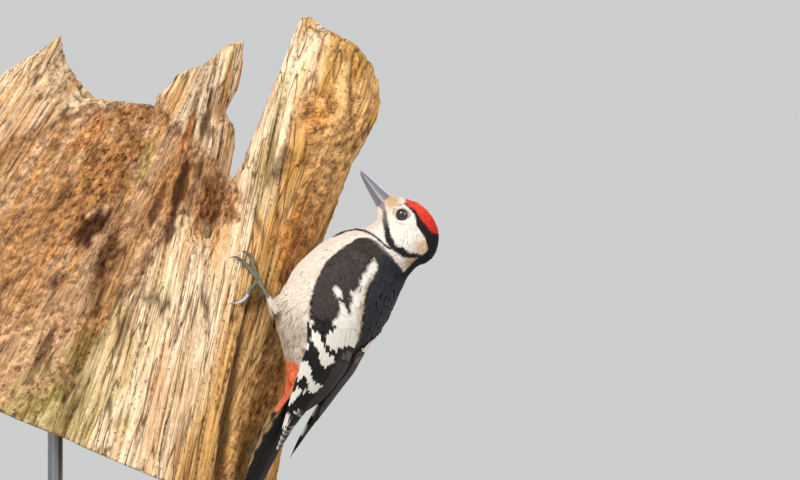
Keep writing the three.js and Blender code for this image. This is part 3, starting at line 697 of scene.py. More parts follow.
def spine():
    """Points from the bill's tip to the tail's, with the way to the tail and the back's side."""
    head = SKULL.world([[39, 0, 0], [30, 0, 0], [20, 0, -1], [12, 0, -1.4], [4, 0, -1],
                        [-2, 0, -4], [-5, 0, -9]])
    rear = TRUNK_OF_BIRD.world([[41, 0.6, 8.6], [32, 0, 5], [20, 0, 0], [0, 0, -2], [-20, 0, -1.4],
                                [-35, 0, 5], [-49, 0, 12], [-70, 0, 15.5], [-121, 0, 24]])
    knots = np.concatenate([head, rear])
    reach = np.concatenate([[0], np.cumsum(np.linalg.norm(np.diff(knots, axis=0), axis=1))])
    at = np.arange(0, reach[-1], SPINE_STEP)
    points = row(np.column_stack([reach, knots]), at)[:, 1:]
    back = np.where(np.arange(len(knots))[:, None] < len(head), SKULL.axes[2],
                    TRUNK_OF_BIRD.axes[2])
    back = np.stack([np.interp(at, reach, back[:, k]) for k in range(3)], 1)
    return points, unit(np.gradient(points, axis=0)), unit(back)


SPINE_POINTS, SPINE_WAYS, SPINE_BACKS = spine()


def by_the_spine(p, reach=9.0):
    """The softly averaged way to the tail at each point, and its place on the skin's unwrap."""
    ways, places = [], []
    for chunk in np.array_split(p, max(1, len(p) // 4000)):
        offset = chunk[:, None, :] - SPINE_POINTS[None]
        distance = (offset ** 2).sum(2)
        closest = distance.argmin(1)
        weight = np.exp((distance.min(1)[:, None] - distance) / (2 * reach ** 2))
        ways.append(unit(weight @ SPINE_WAYS))
        pick = np.arange(len(chunk))
        away, way, back = offset[pick, closest], SPINE_WAYS[closest], SPINE_BACKS[closest]
        left = np.cross(back, way)
        angle = np.arctan2(dot(away, left), dot(away, back))
        along = closest * SPINE_STEP + dot(away, way)
        places.append(np.stack([0.5 + angle / (2 * math.pi),
                                along / (len(SPINE_POINTS) * SPINE_STEP)], 1))
    return np.concatenate(ways), np.concatenate(places)


# Each thigh's hip and heel in the body's frame.
THIGHS = [[(-6, 12, -8), (-20.3, 22, -20.8)], [(-6, -12, -8), (-21, -13, -19.5)]]


def thigh_share(local):
    """How much each point belongs to a thigh, and the way down that thigh."""
    share, way = np.zeros(len(local)), np.zeros((len(local), 3))
    for hip, heel in np.array(THIGHS, float):
        edge, away = heel - hip, local - hip
        t = np.clip(away @ edge / (edge @ edge), 0, 1)
        distance = np.linalg.norm(away - t[:, None] * edge, axis=1)
        here = (1 - smooth(6, 10, distance)) * smooth(0.1, 0.5, t)
        way[here > share] = unit(edge)
        share = np.maximum(share, here)
    return share, way


def headings(p, normals):
    """Which way a feather rooted at each point lies along the skin."""
    way, _ = by_the_spine(p)
    share, down = thigh_share(TRUNK_OF_BIRD.local(p))
    way = unit(mix(way, down @ TRUNK_OF_BIRD.axes, 0.7 * share[:, None]))
    local = SKULL.local(p)
    for side in (1, -1):
        away = local - np.array([EYE[0], side * EYE[1], EYE[2]])
        away[:, 1] = 0
        ring = np.linalg.norm(away, axis=1)
        out = unit(away) @ SKULL.axes
        inward = np.minimum(dot(way, out), 0) * (1 - smooth(4.2, 7.5, ring))
        inward = inward * (local[:, 1] * side > 3)
        way = unit(way - out * inward[:, None])
    return unit(way - normals * dot(way, normals)[:, None])


# ---------------- small feathers
# Rows of [share of the length, share of the width]; the last one is the tip.
PLAIN_VANE = [[0, 0.15], [0.3, 0.85], [0.62, 1.0], [0.87, 0.72], [1.0, 0]]
ROUND_VANE = [[0, 0.15], [0.35, 0.8], [0.7, 1.0], [0.87, 0.88], [0.96, 0.52], [1.0, 0]]
FRAYED_VANE = [[0, 0.12], [0.25, 0.72], [0.5, 1.0], [0.68, 0.94], [0.76, 0.70], [0.84, 0.76],
               [0.92, 0.38], [1.0, 0]]
WISP = [[0, 0.7], [0.45, 1.0], [0.8, 0.6], [1.0, 0]]
# Each kind: length, width, spacing, lift of the tip, profile, turn either way in degrees, and
# how much darker or paler one feather is than the next, which also sets the painted sheen on a dark
# one's rims.
KINDS = {
    "face": (2.3, 0.85, 0.56, 0.24, PLAIN_VANE, 7, 0.02),
    "crown": (3.2, 1.0, 0.72, 0.44, FRAYED_VANE, 8, 0.16),
    "neck": (4.4, 1.4, 0.92, 0.5, FRAYED_VANE, 9, 0.03),
    "breast": (5.6, 1.7, 1.05, 0.62, FRAYED_VANE, 8, 0.02),
    "belly": (6.2, 1.5, 1.1, 0.85, FRAYED_VANE, 14, 0.07),
    "back": (7.0, 4.2, 2.1, 1.15, FRAYED_VANE, 7, 0.40),
    "shoulder": (9.0, 4.6, 2.1, 0.95, ROUND_VANE, 5, 0.02),
    "lesser": (4.2, 2.9, 1.4, 0.75, ROUND_VANE, 5, 0.26),
    "median": (5.8, 3.8, 1.8, 0.8, ROUND_VANE, 5, 0.24),
    "greater": (8.4, 3.8, 2.0, 0.85, ROUND_VANE, 4, 0.18),
    "thigh": (4.6, 1.0, 0.85, 0.8, FRAYED_VANE, 14, 0.05),
    "bristle": (3.4, 0.5, 0.5, 0.25, WISP, 7, 0.05),
    "trousers": (4.4, 0.8, 0.8, -0.5, FRAYED_VANE, 10, 0.06),
    "vent": (8.5, 1.7, 1.15, 0.9, FRAYED_VANE, 7, 0.13),
    "undertail": (11.5, 2.2, 1.3, 0.5, FRAYED_VANE, 3, 0.15)}
# Where each kind of wing covert begins along a.
COVERT_STARTS = {"greater": -13, "median": -3, "lesser": 7}
BELLY_END, NECK_START = -12, 31  # along a
BARE_ROUND_EYE, BARE_FROM = 3.75, 20.4  # no feather grows so near the eye, nor further along f
ROOT_SINK = 0.3  # mm that a root lies under the skin
TRIES = 4.5  # roots tried for each square of the kind's gap


def kind_of(p):
    """The kind of feather rooted at each point of the skin."""
    local, head = TRUNK_OF_BIRD.local(p), SKULL.local(p)
    kinds = np.full(len(p), "breast", dtype=object)
    angle = np.degrees(np.arctan2(np.abs(local[:, 1]), local[:, 2] + 1.6))
    back, breast = row(WING_ROWS, np.clip(local[:, 0], BELLY_END, 30))[:, 4:6].T
    winged = (angle > back - 2) & (angle < breast + 3) & (local[:, 0] < 30)
    rear = local[:, 0] < BELLY_END
    kinds[rear] = "belly"
    kinds[(angle < back + 2) | rear & (angle < 70)] = "back"
    for kind, start in COVERT_STARTS.items():
        kinds[winged & (local[:, 0] > start)] = kind
    ahead = TRUNK_OF_BIRD.profile(TRUNK_OF_BIRD.mirrored(p)) + (3.0, 0)
    kinds[(signed_distance(ahead, SHOULDER) > -0.6) & (local[:, 0] < 32)] = "shoulder"
    below = (np.abs(local[:, 1]) < 9) & (local[:, 2] < 12)
    kinds[(local[:, 0] < -37) & (below | (angle > 75))] = "vent"
    kinds[thigh_share(local)[0] > 0.45] = "thigh"
    kinds[local[:, 0] > NECK_START] = "neck"
    on_head = head_share(p) > 0.5
    kinds[on_head] = "crown"
    kinds[on_head & (head[:, 0] > 2) & ((head[:, 2] < 6) | (head[:, 0] > 11))] = "face"
    return kinds


def bare(p):
    """True where no feather grows: round the eyes and on the bill's base."""
    local = SKULL.local(p)
    ring = np.hypot(local[:, 0] - EYE[0], local[:, 2] - EYE[2])
    beside = (ring < BARE_ROUND_EYE) & (np.abs(local[:, 1]) > 5)
    gape = signed_distance(SKULL.profile(SKULL.mirrored(p)), GAPE) > -0.1
    return beside | gape & (np.abs(local[:, 1]) > 1.5) | (local[:, 0] > BARE_FROM)


def spread(p, gap):
    """The places that keep at least this gap, taken in turn."""
    keys = np.floor(p / gap).astype(int).tolist()
    places, taken, kept = p.tolist(), {}, []
    around = [(x, y, z) for x in (-1, 0, 1) for y in (-1, 0, 1) for z in (-1, 0, 1)]
    for i, (kx, ky, kz) in enumerate(keys):
        here = places[i]
        near = (taken.get((kx + x, ky + y, kz + z), ()) for x, y, z in around)
        if all(math.dist(here, other) >= gap for cell in near for other in cell):
            taken.setdefault((kx, ky, kz), []).append(here)
            kept.append(i)
    return kept


def scattered(surface, seed):
    """Roots spread over the skin for each kind, no two closer than the kind allows."""
    draw = np.random.default_rng(seed)
    vertices = surface.vertices
    corners = np.array([f[:4] if len(f) > 3 else [*f, f[0]] for f in surface.faces])
    a, b, c, d = (vertices[corners[:, k]] for k in range(4))
    area = 0.5 * np.linalg.norm(np.cross(c - a, d - b), axis=1)
    middle = (a + b + c + d) / 4
    kinds = kind_of(middle)
    roots = {}
    for kind, (_, _, gap, *_) in KINDS.items():
        mine = np.flatnonzero(kinds == kind)
        if not len(mine):
            continue
        share = area[mine] / area[mine].sum()
        count = int(area[mine].sum() * TRIES / gap ** 2)
        pick = mine[draw.choice(len(mine), count, p=share)]
        u, v = draw.random((2, count, 1))
        p = mix(mix(a[pick], b[pick], u), mix(d[pick], c[pick], u), v)
        normals = unit(surface.normals[corners[pick, 0]])
        p, normals = p[~bare(p)], normals[~bare(p)]
        kept = spread(p, gap)
        roots[kind] = p[kept], normals[kept]
    return roots


def laid(tree, roots, normals, ways, lengths, shares, straight=0.0):
    """Walks each feather over the skin: its places, normals and ways at each share of length.
    A straight feather leaves the skin's curve and keeps the way that it had at its root."""
    at, way, before = roots, ways, 0.0
    walk = []
    for share in shares:
        if share > before:
            on_skin, ahead = nearest(tree, at + way * (lengths * (share - before))[:, None])
            free = roots + ways * (lengths * share)[:, None]
            at = mix(on_skin, free, straight)
            normals = unit(mix(ahead, normals, straight))
            way = unit(way - normals * dot(way, normals)[:, None])
        walk.append((at, normals, way))
        before = share
    return [np.stack(part, 1) for part in zip(*walk)]


THICKNESS = 0.09


def vanes(tree, roots, normals, ways, sizes, profile, straight=0.0):
    """Closed thin feathers: vertices (feathers, points, 3), faces, and shaft coordinates. Each
    has a ring of three points for every row, left, shaft and right, and one point at its tip."""
    lengths, widths, lifts = sizes
    shares = [s for s, _ in profile]
    places, normals, ways = laid(tree, roots, normals, ways, lengths, shares, straight)
    count, rows = len(roots), len(profile)
    rise = np.array(shares) ** 0.55
    height = mix(-ROOT_SINK, lifts[:, None], rise[None])
    aside = np.cross(normals, ways)
    centre = places + normals * height[..., None]
    half = widths[:, None] * np.array([w for _, w in profile])[None] / 2
    left, right = (centre + aside * (side * half)[..., None] for side in (-1, 1))
    top = centre + normals * (THICKNESS + 0.1 * half)[..., None]
    rings = np.stack([left, top, right], 2)[:, :-1].reshape(count, -1, 3)
    points = np.concatenate([rings, centre[:, -1:]], 1)
    last = (rows - 2) * 3
    each = points.shape[1]
    start = np.arange(count)[:, None, None] * each
    sides = (grid_faces(rows - 1, 3, True)[None] + start).reshape(-1, 4).tolist()
    ends = np.array([[2, 1, 0]] + [[last + k, last + (k + 1) % 3, last + 3] for k in range(3)])
    faces = sides + (ends[None] + start).reshape(-1, 3).tolist()
    along = np.concatenate([np.repeat(np.array(shares)[:-1], 3), [1.0]])[None] * lengths[:, None]
    across = np.tile([-1, 0, 1], rows - 1)[None] * np.repeat(half[:, :-1], 3, 1)
    across = np.concatenate([across, np.zeros((count, 1))], 1)
    return points, faces, along, across


def crease_rims(piece, each):
    """Makes every feather's rims sharp, so that its upper side shades as one flat vane."""
    mesh = piece.data
    ends = np.zeros(len(mesh.edges) * 2, np.int32)
    mesh.edges.foreach_get("vertices", ends)
    spot = ends.reshape(-1, 2) % each
    tip = spot == each - 1
    rims = [((spot % 3 == side) | tip).all(1) for side in (0, 2)]
    layer = mesh.attributes.new("sharp_edge", "BOOLEAN", "EDGE")
    layer.data.foreach_set("value", rims[0] | rims[1])


BAKE_PATCH = 0.003  # of the bake map's width for one feather


def coat_piece(name, tree, roots, normals, kind, seed, material, ways=None, straight=0.0,
               tint=None):
    """One piece of the coat: feathers with the skin's markings, and their bake map."""
    length, width, _, lift, profile, turns, contrast = kind
    draw = np.random.default_rng(seed)
    count = len(roots)
    lengths, widths, lifts = (size * draw.uniform(0.86, 1.14, count)
                              for size in (length, width, lift))
    ways = headings(roots, normals) if ways is None else ways
    turn = np.radians(draw.normal(0, 0.6, count) * turns)[:, None]
    ways = ways * np.cos(turn) + np.cross(normals, ways) * np.sin(turn)
    lengths = shortened_at_eyes(roots, ways, lengths)
    points, faces, along, across = vanes(tree, roots, normals, ways, (lengths, widths, lifts),
                                         profile, straight)
    each = points.shape[1]
    jitter = draw.normal(0, 0.12, (count, 1, 3))
    if tint is None:
        colours = markings((points + jitter).reshape(-1, 3))
    else:
        colours = np.tile(rgb(tint), (count * each, 1))
    share = along / lengths[:, None]
    # Each feather darkens towards its root: partly its greyer base, partly painted shade under the
    # feathers that overlap it.
    tone = draw.normal(1, 0.01 + 0.4 * contrast, (count, 1)) * mix(0.9, 1.02, share)
    # On dark feathers the rims and tip are lightened and the middle darkened: partly paler fringes,
    # partly painted sheen along the edges.
    rim = np.maximum(np.abs(across) / (0.45 * widths[:, None]), share)
    dark = smooth(0.4, 0.1, colours.mean(1).reshape(count, each))
    edge = 2.6 * smooth(0.5, 1.0, rim) * smooth(0, 0.4, share) - 0.7
    tone = tone * (1 + contrast * dark * edge)
    colours = np.clip(colours * tone.reshape(-1, 1), 0, 1)
    vane = np.stack([along.ravel(), across.ravel(), np.zeros(count * each)], 1)
    piece = new_mesh(name, points.reshape(-1, 3), faces, material, colours, vane)
    crease_rims(piece, each)
    _, spot = by_the_spine(roots)
    aside = np.resize([0, 0.5, 1.0], each) * np.ones((count, 1))
    patch = np.stack([aside, share], 2)
    bake_map(piece, (spot[:, None, :] + BAKE_PATCH * patch).reshape(-1, 2))
    return piece


def shortened_at_eyes(roots, ways, lengths):
    """Keeps a feather from lying over an eye."""
    local, way = SKULL.local(roots), ways @ SKULL.axes.T
    result = lengths.copy()
    for side in (1, -1):
        for share in (0.5, 1.0):
            end = local + way * (lengths * share)[:, None]
            ring = np.hypot(end[:, 0] - EYE[0], end[:, 2] - EYE[2])
            over = (ring < 3.1) & (local[:, 1] * side > 4)
            result[over] = np.minimum(result[over], 0.45 * lengths[over])
    return result


# ---------------- wings
# Rows of [a, middle d, radius d, radius l, angle of the back edge, angle of the breast edge].
WING_ROWS = [
    [30, 3.0, 21, 19.5, 66, 86], [26, 1.4, 22.6, 21.6, 52, 101], [18, -0.8, 25.8, 25, 43, 101],
    [8, -1.6, 28, 27.4, 35, 95], [0, -2.0, 29, 28, 27, 90], [-10, -1.6, 28.2, 27.8, 15, 82],
    [-18, -0.4, 27.3, 26.6, 9, 73], [-27, 3.2, 25, 24, 5, 68], [-37, 9.4, 18.4, 19, 5, 76],
    [-46, 12.6, 14.4, 15.6, 8, 80], [-55, 15.3, 10.8, 12.6, 20, 82], [-65, 18.6, 7.4, 9.8, 34, 84],
    [-75, 21.8, 4.6, 8.0, 46, 86], [-82, 24.2, 2.6, 7.2, 58, 82]]
# How the right wing's end is held off the body: rows of [a, further out, degrees further over
# the back].
RIGHT_LOOSE = [[30, 0, 0], [-32, 0, 0], [-55, 1.6, 12], [-65, 1.9, 22], [-75, 1.6, 28],
               [-82, 0.6, 30]]
# Groups of quills from the breast edge to the back: how many, places of the outer edge from the
# breast edge (0) to the back edge (1), where they start and end along a, and their widths.
QUILLS = [
    {"count": 8, "edge": (0.0, 0.34), "start": (-16, -16), "end": (-82, -62), "width": (5.0, 7.2)},
    {"count": 8, "edge": (0.36, 0.66), "start": (-9, -9), "end": (-60, -56), "width": (6.4, 6.4)},
    {"count": 3, "edge": (0.70, 0.86), "start": (-8, -6), "end": (-55, -44), "width": (7.5, 8.5)}]
QUILL_COUNT = sum(group["count"] for group in QUILLS)
QUILL_ROWS, QUILL_ACROSS = 84, 9
QUILL_THICKNESS = 0.16
SHAFT_AT = 0.30  # of a quill's width from its outer edge
STRIP = 0.6  # from a quill's outer edge to the middle of what shows


def wing_shape(side, a):
    """The wing's middle, radii and edges at a, and its breadth round the body in millimetres."""
    _, d, radius_d, radius_l, back, breast = row(WING_ROWS, a).T
    if side < 0:
        _, out, over = row(RIGHT_LOOSE, a).T
        radius_d, radius_l, back = radius_d + out, radius_l + out, back - over
    arc = (radius_d + radius_l) / 2 * np.radians(breast - back)
    return d, radius_d, radius_l, back, breast, arc


def on_wing(side, a, place, out):
    """A point on a folded wing's surface: a, place from the breast edge to the back, height."""
    d, radius_d, radius_l, back, breast, _ = wing_shape(side, a)
    angle = np.radians(mix(breast, back, place))
    return np.stack([a, side * (radius_l + out) * np.sin(angle),
                     d + (radius_d + out) * np.cos(angle)], -1)


def plate(top, under):
    """A closed thin plate between two grids of points (rows, columns, 3)."""
    rows, columns, _ = top.shape
    over = grid_faces(rows, columns, False)
    count = rows * columns
    faces = over[:, ::-1].tolist() + (over + count).tolist()
    edge = [r * columns for r in range(rows)] + [(rows - 1) * columns + c for c in range(1, columns)]
    edge += [r * columns + columns - 1 for r in range(rows - 2, -1, -1)]
    edge += [c for c in range(columns - 2, 0, -1)]
    for i, j in zip(edge, edge[1:] + edge[:1]):
        faces.append([i, j, j + count, i + count])
    return np.concatenate([top.reshape(-1, 3), under.reshape(-1, 3)]), faces


def quill(side, outer, start, end, width, number, next_end):
    """One flight feather on the wing, asymmetric about its shaft, with a rounded tip. Its marks
    are those of the strip of it that shows, so each runs straight across and they step."""
    share = np.linspace(0, 1, QUILL_ROWS)
    a = mix(start, end, share)
    arc = np.maximum(wing_shape(side, a)[5], 0.5)
    taper = np.sqrt(np.clip(1 - np.clip((share - 0.80) / 0.20, 0, 1) ** 2.4, 0, 1)) + 0.02
    first = outer * arc
    breadth = np.minimum(width * smooth(-0.2, 0.25, share), np.maximum(arc * 1.04 - first, 1.6))
    shaft = first + breadth * SHAFT_AT
    across = np.array([-SHAFT_AT, -0.22, -0.1, -0.02, 0.02, 0.12, 0.3, 0.5, 1 - SHAFT_AT])
    at = shaft[:, None] + across[None] * breadth[:, None] * taper[:, None]
    inward = (at - first[:, None]) / width
    height = 0.42 - 0.75 * inward + 0.10 * (np.abs(across) < 0.05)[None] - 0.35 * (1 - share)[:, None]
    over, place = a.repeat(QUILL_ACROSS), (at / arc[:, None]).ravel()
    top, under = (TRUNK_OF_BIRD.world(on_wing(side, over, place, height.ravel() - sunk))
                  .reshape(QUILL_ROWS, QUILL_ACROSS, 3) for sunk in (0, QUILL_THICKNESS))
    vertices, faces = plate(top, under)
    middle = first + np.where(a < next_end, 0.3 * width, STRIP)
    strip = on_wing(1, a + 0.8 * math.sin(2.4 * number), middle / arc, 0 * a)
    seen = TRUNK_OF_BIRD.world(strip).repeat(QUILL_ACROSS, 0)
    along = (share * abs(start - end))[:, None].repeat(QUILL_ACROSS, 1)
    vane = np.stack([along, across[None] * breadth[:, None],
                     np.full_like(along, number / QUILL_COUNT)], -1)
    return vertices, faces, seen, vane.reshape(-1, 3)


def quills(side):
    """All of one wing's flight feathers: vertices, faces, where each takes its mark, vanes."""
    parts, seen, vane, number = [], [], [], 0
    for group in QUILLS:
        step = 1 / (group["count"] - 1)
        for share in np.linspace(0, 1, group["count"]):
            outer, start, end, width = (mix(*group[key], share)
                                        for key in ("edge", "start", "end", "width"))
            next_end = mix(*group["end"], share + step)
            v, f, s, t = quill(side, outer, start, end, width, number, next_end)
            parts.append((v, f))
            seen += [s, s]
            vane += [t, t]
            number += 1
    return *joined(parts), np.concatenate(seen), np.concatenate(vane)


# ---------------- operators
def slotted(piece, slot, *nodes):
    if nodes:
        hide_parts(*nodes)
    return piece


class WOODPECKER_OT_skin(bpy.types.Operator):
    """Make the one skin that lies under the feathers"""

    bl_idname = "woodpecker.skin"
    bl_label = "Skin"

    def execute(self, context):
        surface = skin()
        material = feather_material("down_over_skin", 0.85, 0.8)
        vane = np.zeros((len(surface.vertices), 3))
        # The skin's colours are darkened a little: painted shade under the feathers.
        piece = new_mesh("skin", surface.vertices, surface.faces, material,
                         0.92 * markings(surface.vertices), vane)
        slotted(piece, "plumage_pale", *FLESH, *WING_FLESH)
        return {"FINISHED"}


COAT_PIECES = {"coat_face": "face", "coat_crown": "crown", "coat_neck": "neck",
               "coat_breast": "breast", "coat_belly": "belly", "coat_vent": "vent",
               "coat_back": "back", "coat_shoulders": "shoulder", "coat_wings_lesser": "lesser",
               "coat_wings_median": "median", "coat_wings_greater": "greater",
               "coat_thighs": "thigh"}
# Where each group of random draws starts.
SEEDS = {"roots": 11, "coat": 100, "wisps": 200, "trousers at": 300, "trousers": 301,
         "under tail at": 309, "under tail": 310, "bristles at": 311, "bristles": 312}
# How far a feather leaves the skin's curve and keeps its own way.
STRAIGHT = {"vent": 0.4, "thigh": 0.3, "belly": 0.2}
DARK_KINDS = ("back", "lesser", "median", "greater")
INNER_QUILLS = 3  # the innermost ones of each wing are paler
COVERTS_END = (-22, -25)  # along a, where the quills come out from under the coverts
# Loose barbs over the softer parts: on which kind, then as in KINDS.
WISPS = {"belly": (5.0, 0.34, 0.8, 1.15, WISP, 16, 0.16),
         "thigh": (4.0, 0.30, 0.7, 1.05, WISP, 18, 0.10),
         "breast": (4.2, 0.30, 1.1, 0.8, WISP, 10, 0.05),
         "neck": (3.6, 0.30, 1.0, 0.7, WISP, 12, 0.06),
         "crown": (2.6, 0.26, 0.9, 0.62, WISP, 10, 0.14),
         "vent": (6.0, 0.40, 1.0, 1.15, WISP, 8, 0.16)}


UNDER_TAIL = 240  # how many feathers lie round the tail's base
UNDER_TAIL_FROM, UNDER_TAIL_TO = -54, -42  # where they are rooted along a
UNDER_TAIL_HALF_WIDTH = 10.2


def under_tail():
    """Roots round the tail's underside and its edges, with their normals and ways."""
    draw = np.random.default_rng(SEEDS["under tail at"])
    a = draw.uniform(UNDER_TAIL_FROM, UNDER_TAIL_TO, UNDER_TAIL)
    angle = 1.75 * draw.uniform(-1, 1, UNDER_TAIL)
    _, d, curl = row(TAIL_LIE, a).T
    back = (UNDER_TAIL_TO - a) / (UNDER_TAIL_TO - UNDER_TAIL_FROM)
    y = UNDER_TAIL_HALF_WIDTH * np.sin(np.clip(angle, -1.57, 1.57)) * mix(0.78, 1.0, back)
    z = d - curl * (y / TAIL_HALF_WIDTH) ** 2 - 1.6 * np.cos(angle) - 0.3
    normals = np.stack([0 * a, np.sin(angle), -np.cos(angle)], 1)
    ways = np.stack([0 * a - 1, 0.06 * np.sign(angle), 0 * a + 0.16], 1)
    return (TRUNK_OF_BIRD.world(np.stack([a, y, z], 1)), normals @ TRUNK_OF_BIRD.axes,
            unit(ways) @ TRUNK_OF_BIRD.axes)


BRISTLES = 70  # on each side of the bill's base


def nasal_bristles(tree, side):
    """Roots round the upper half of the bill's base, whose bristles point to the bill's tip."""
    draw = np.random.default_rng(SEEDS["bristles at"])
    turn = np.radians(draw.uniform(4, 78, BRISTLES))
    f = draw.uniform(18.6, 20.4, BRISTLES)
    ring = np.stack([f, side * 4.3 * np.sin(turn), -0.6 + 4.4 * np.cos(turn)], 1)
    roots, normals = nearest(tree, SKULL.world(ring))
    ways = unit(np.array([1, side * -0.12, -0.1]) @ SKULL.axes)
    ways = unit(ways - normals * dot(np.tile(ways, (BRISTLES, 1)), normals)[:, None])
    return roots, normals, ways


TROUSERS = 260  # how many feathers lie round each shank
TROUSERS_FROM, TROUSERS_TO = -0.35, 0.12  # where they are rooted down the shank, from the heel


def trousers(heel, end):
    """Roots in a sleeve that narrows down the shank, with their normals and ways."""
    draw = np.random.default_rng(SEEDS["trousers at"])
    way = unit(end - heel)
    share = draw.uniform(TROUSERS_FROM, TROUSERS_TO, TROUSERS)
    turn = draw.uniform(0, 2 * math.pi, TROUSERS)
    first = unit(np.cross(way, (0.2, 1, 0.1)))
    out = first * np.cos(turn)[:, None] + np.cross(way, first) * np.sin(turn)[:, None]
    ring = mix(1.5, 4.2, (TROUSERS_TO - share) / (TROUSERS_TO - TROUSERS_FROM))[:, None]
    return mix(heel, end, share[:, None]) + out * ring, out, np.tile(way, (TROUSERS, 1))


class WOODPECKER_OT_coat(bpy.types.Operator):
    """Grow the small feathers over the skin"""

    bl_idname = "woodpecker.coat"
    bl_label = "Small feathers"

    def execute(self, context):
        surface = skin()
        material = feather_material("contour_feather", 0.72, 0.45)

        def grow(name, slot, kind, seed, roots, normals, ways=None, **lie):
            piece = coat_piece(name, surface.tree, roots, normals, kind, seed, material, ways,
                               **lie)
            slotted(piece, slot)

        roots = scattered(surface, SEEDS["roots"])
        for number, (name, kind) in enumerate(COAT_PIECES.items()):
            slot = "plumage_red" if kind == "vent" else "plumage_pale"
            grow(name, "plumage_black" if kind in DARK_KINDS else slot, KINDS[kind],
                 SEEDS["coat"] + number, *roots[kind], straight=STRAIGHT.get(kind, 0.0))
        for number, (kind, wisp) in enumerate(WISPS.items()):
            places, normals = roots[kind]
            kept = spread(places, wisp[2])
            grow(f"wisps_{kind}", "plumage_red" if kind == "vent" else "plumage_pale", wisp,
                 SEEDS["wisps"] + number, places[kept], normals[kept], straight=0.35)
        grow("coat_undertail", "plumage_red", KINDS["undertail"], SEEDS["under tail"],
             *under_tail(), straight=1.0)
        for title, side in SIDES.items():
            grow(f"coat_bristles_{title}", "plumage_pale", KINDS["bristle"], SEEDS["bristles"],
                 *nasal_bristles(surface.tree, side), straight=0.6, tint=plumage().buff)
        for title, (heel, end) in shanks(toe_places()[2]).items():
            grow(f"coat_trousers_{title}", "plumage_pale", KINDS["trousers"], SEEDS["trousers"],
                 *trousers(heel, end), straight=1.0)
        return {"FINISHED"}


class WOODPECKER_OT_wings(bpy.types.Operator):
    """Fold the flight feathers of both wings"""

    bl_idname = "woodpecker.wings"
    bl_label = "Flight feathers"

    def execute(self, context):
        material = feather_material("flight_feather", 0.5, 0.5)
        for name, side in SIDES.items():
            vertices, faces, seen, vane = quills(side)
            colours = markings(seen, 0.12, rgb(plumage().quill))
            below = smooth(*COVERTS_END, TRUNK_OF_BIRD.local(seen)[:, 0])
            hidden = smooth(-0.2, 0.4, vane[:, 1]) * (0.75 if side > 0 else 0.9) * below
            colours = paint(colours, plumage().quill, hidden)
            inner = (vane[:, 2] >= (QUILL_COUNT - INNER_QUILLS) / QUILL_COUNT) * below
            # The innermost quills take their greyer brown, with a painted highlight along each one's
            # outer edge.
            tertial_with_highlit_edge = mix(rgb(plumage().tertial), 1.5 * rgb(plumage().tertial),
                       smooth(-1.2, -2.4, vane[:, 1])[:, None])
            colours = mix(colours, tertial_with_highlit_edge, inner[:, None])
            piece = new_mesh(f"quills_{name}", vertices, faces, material, colours, vane)
            slotted(piece, "plumage_black", f"wing_{name}_secondaries", f"wing_{name}_primaries")
        return {"FINISHED"}


# ---------------- tail
TAIL_START = -40.0
# The six feathers of one side from the middle out: where each tip lies along a and across.
TAIL_TIPS = [(-121, 1.2), (-118, 3.2), (-114, 5.2), (-108, 7.4), (-99, 9.4), (-84, 10.6)]
# Rows of [a, middle d, curl]; the curl bends the edges to the belly.
TAIL_LIE = [[-40, 12.4, 2.6], [-49.6, 13.4, 2.6], [-60, 14.6, 2.6], [-73, 16.8, 2.4],
            [-88, 18.9, 2.2], [-104, 21.5, 1.6], [-114, 23.0, 0.8], [-121, 24.0, 0.1]]
TAIL_HALF_WIDTH = 11.8
TAIL_WIDTH = 6.2  # of one feather
TAIL_THICKNESS = 0.18
TAIL_ROWS = 70
TAIL_ACROSS = np.array([-1, -0.7, -0.35, -0.07, 0.07, 0.35, 0.7, 1.0])
BAR_SPACING = 9.5  # between the pale bars of the outer tail feathers


def tail_feather(side, order):
    """One stiff pointed tail feather; order is 0 in the middle."""
    tip, aside = TAIL_TIPS[order]
    share = np.linspace(0, 1, TAIL_ROWS)
    a = mix(TAIL_START, tip, share)
    middle = side * aside * (0.30 + 0.70 * smooth(0, 0.85, share))
    point = np.clip((share - 0.62) / 0.38, 0, 1)
    half = TAIL_WIDTH / 2 * smooth(-0.3, 0.3, share) * (1 - point) ** 0.75 + 0.12
    across = TAIL_ACROSS[None] * half[:, None]
    _, d, curl = row(TAIL_LIE, a).T
    ridge = 0.16 * (np.abs(TAIL_ACROSS) < 0.1)
    height = 0.95 - 0.33 * order - 0.11 * (TAIL_ACROSS + 1) + ridge - 0.05 * np.abs(TAIL_ACROSS)
    y = middle[:, None] + across * side
    z = d[:, None] - curl[:, None] * (y / TAIL_HALF_WIDTH) ** 2 + height[None]
    top = np.stack([a[:, None] + 0 * y, y, z], -1)
    if side < 0:
        top = top[:, ::-1]
    vertices, faces = plate(TRUNK_OF_BIRD.world(top),
                            TRUNK_OF_BIRD.world(top - (0, 0, TAIL_THICKNESS)))
    along = (share * (TAIL_START - tip))[:, None] + 0 * y
    vane = np.stack([along, across, np.full_like(along, order / len(TAIL_TIPS))], -1)
    barred = np.zeros(along.shape)
    if order >= 4:
        bars = np.sin((a - 2.2 * order) * (2 * math.pi / BAR_SPACING))[:, None]
        edge = smooth(0.3, 0.8, TAIL_ACROSS + 0.35 * np.minimum(bars, 0.4))
        barred = edge * smooth(0.25, 0.4, share)[:, None]
    return vertices, faces, vane.reshape(-1, 3), barred.ravel()


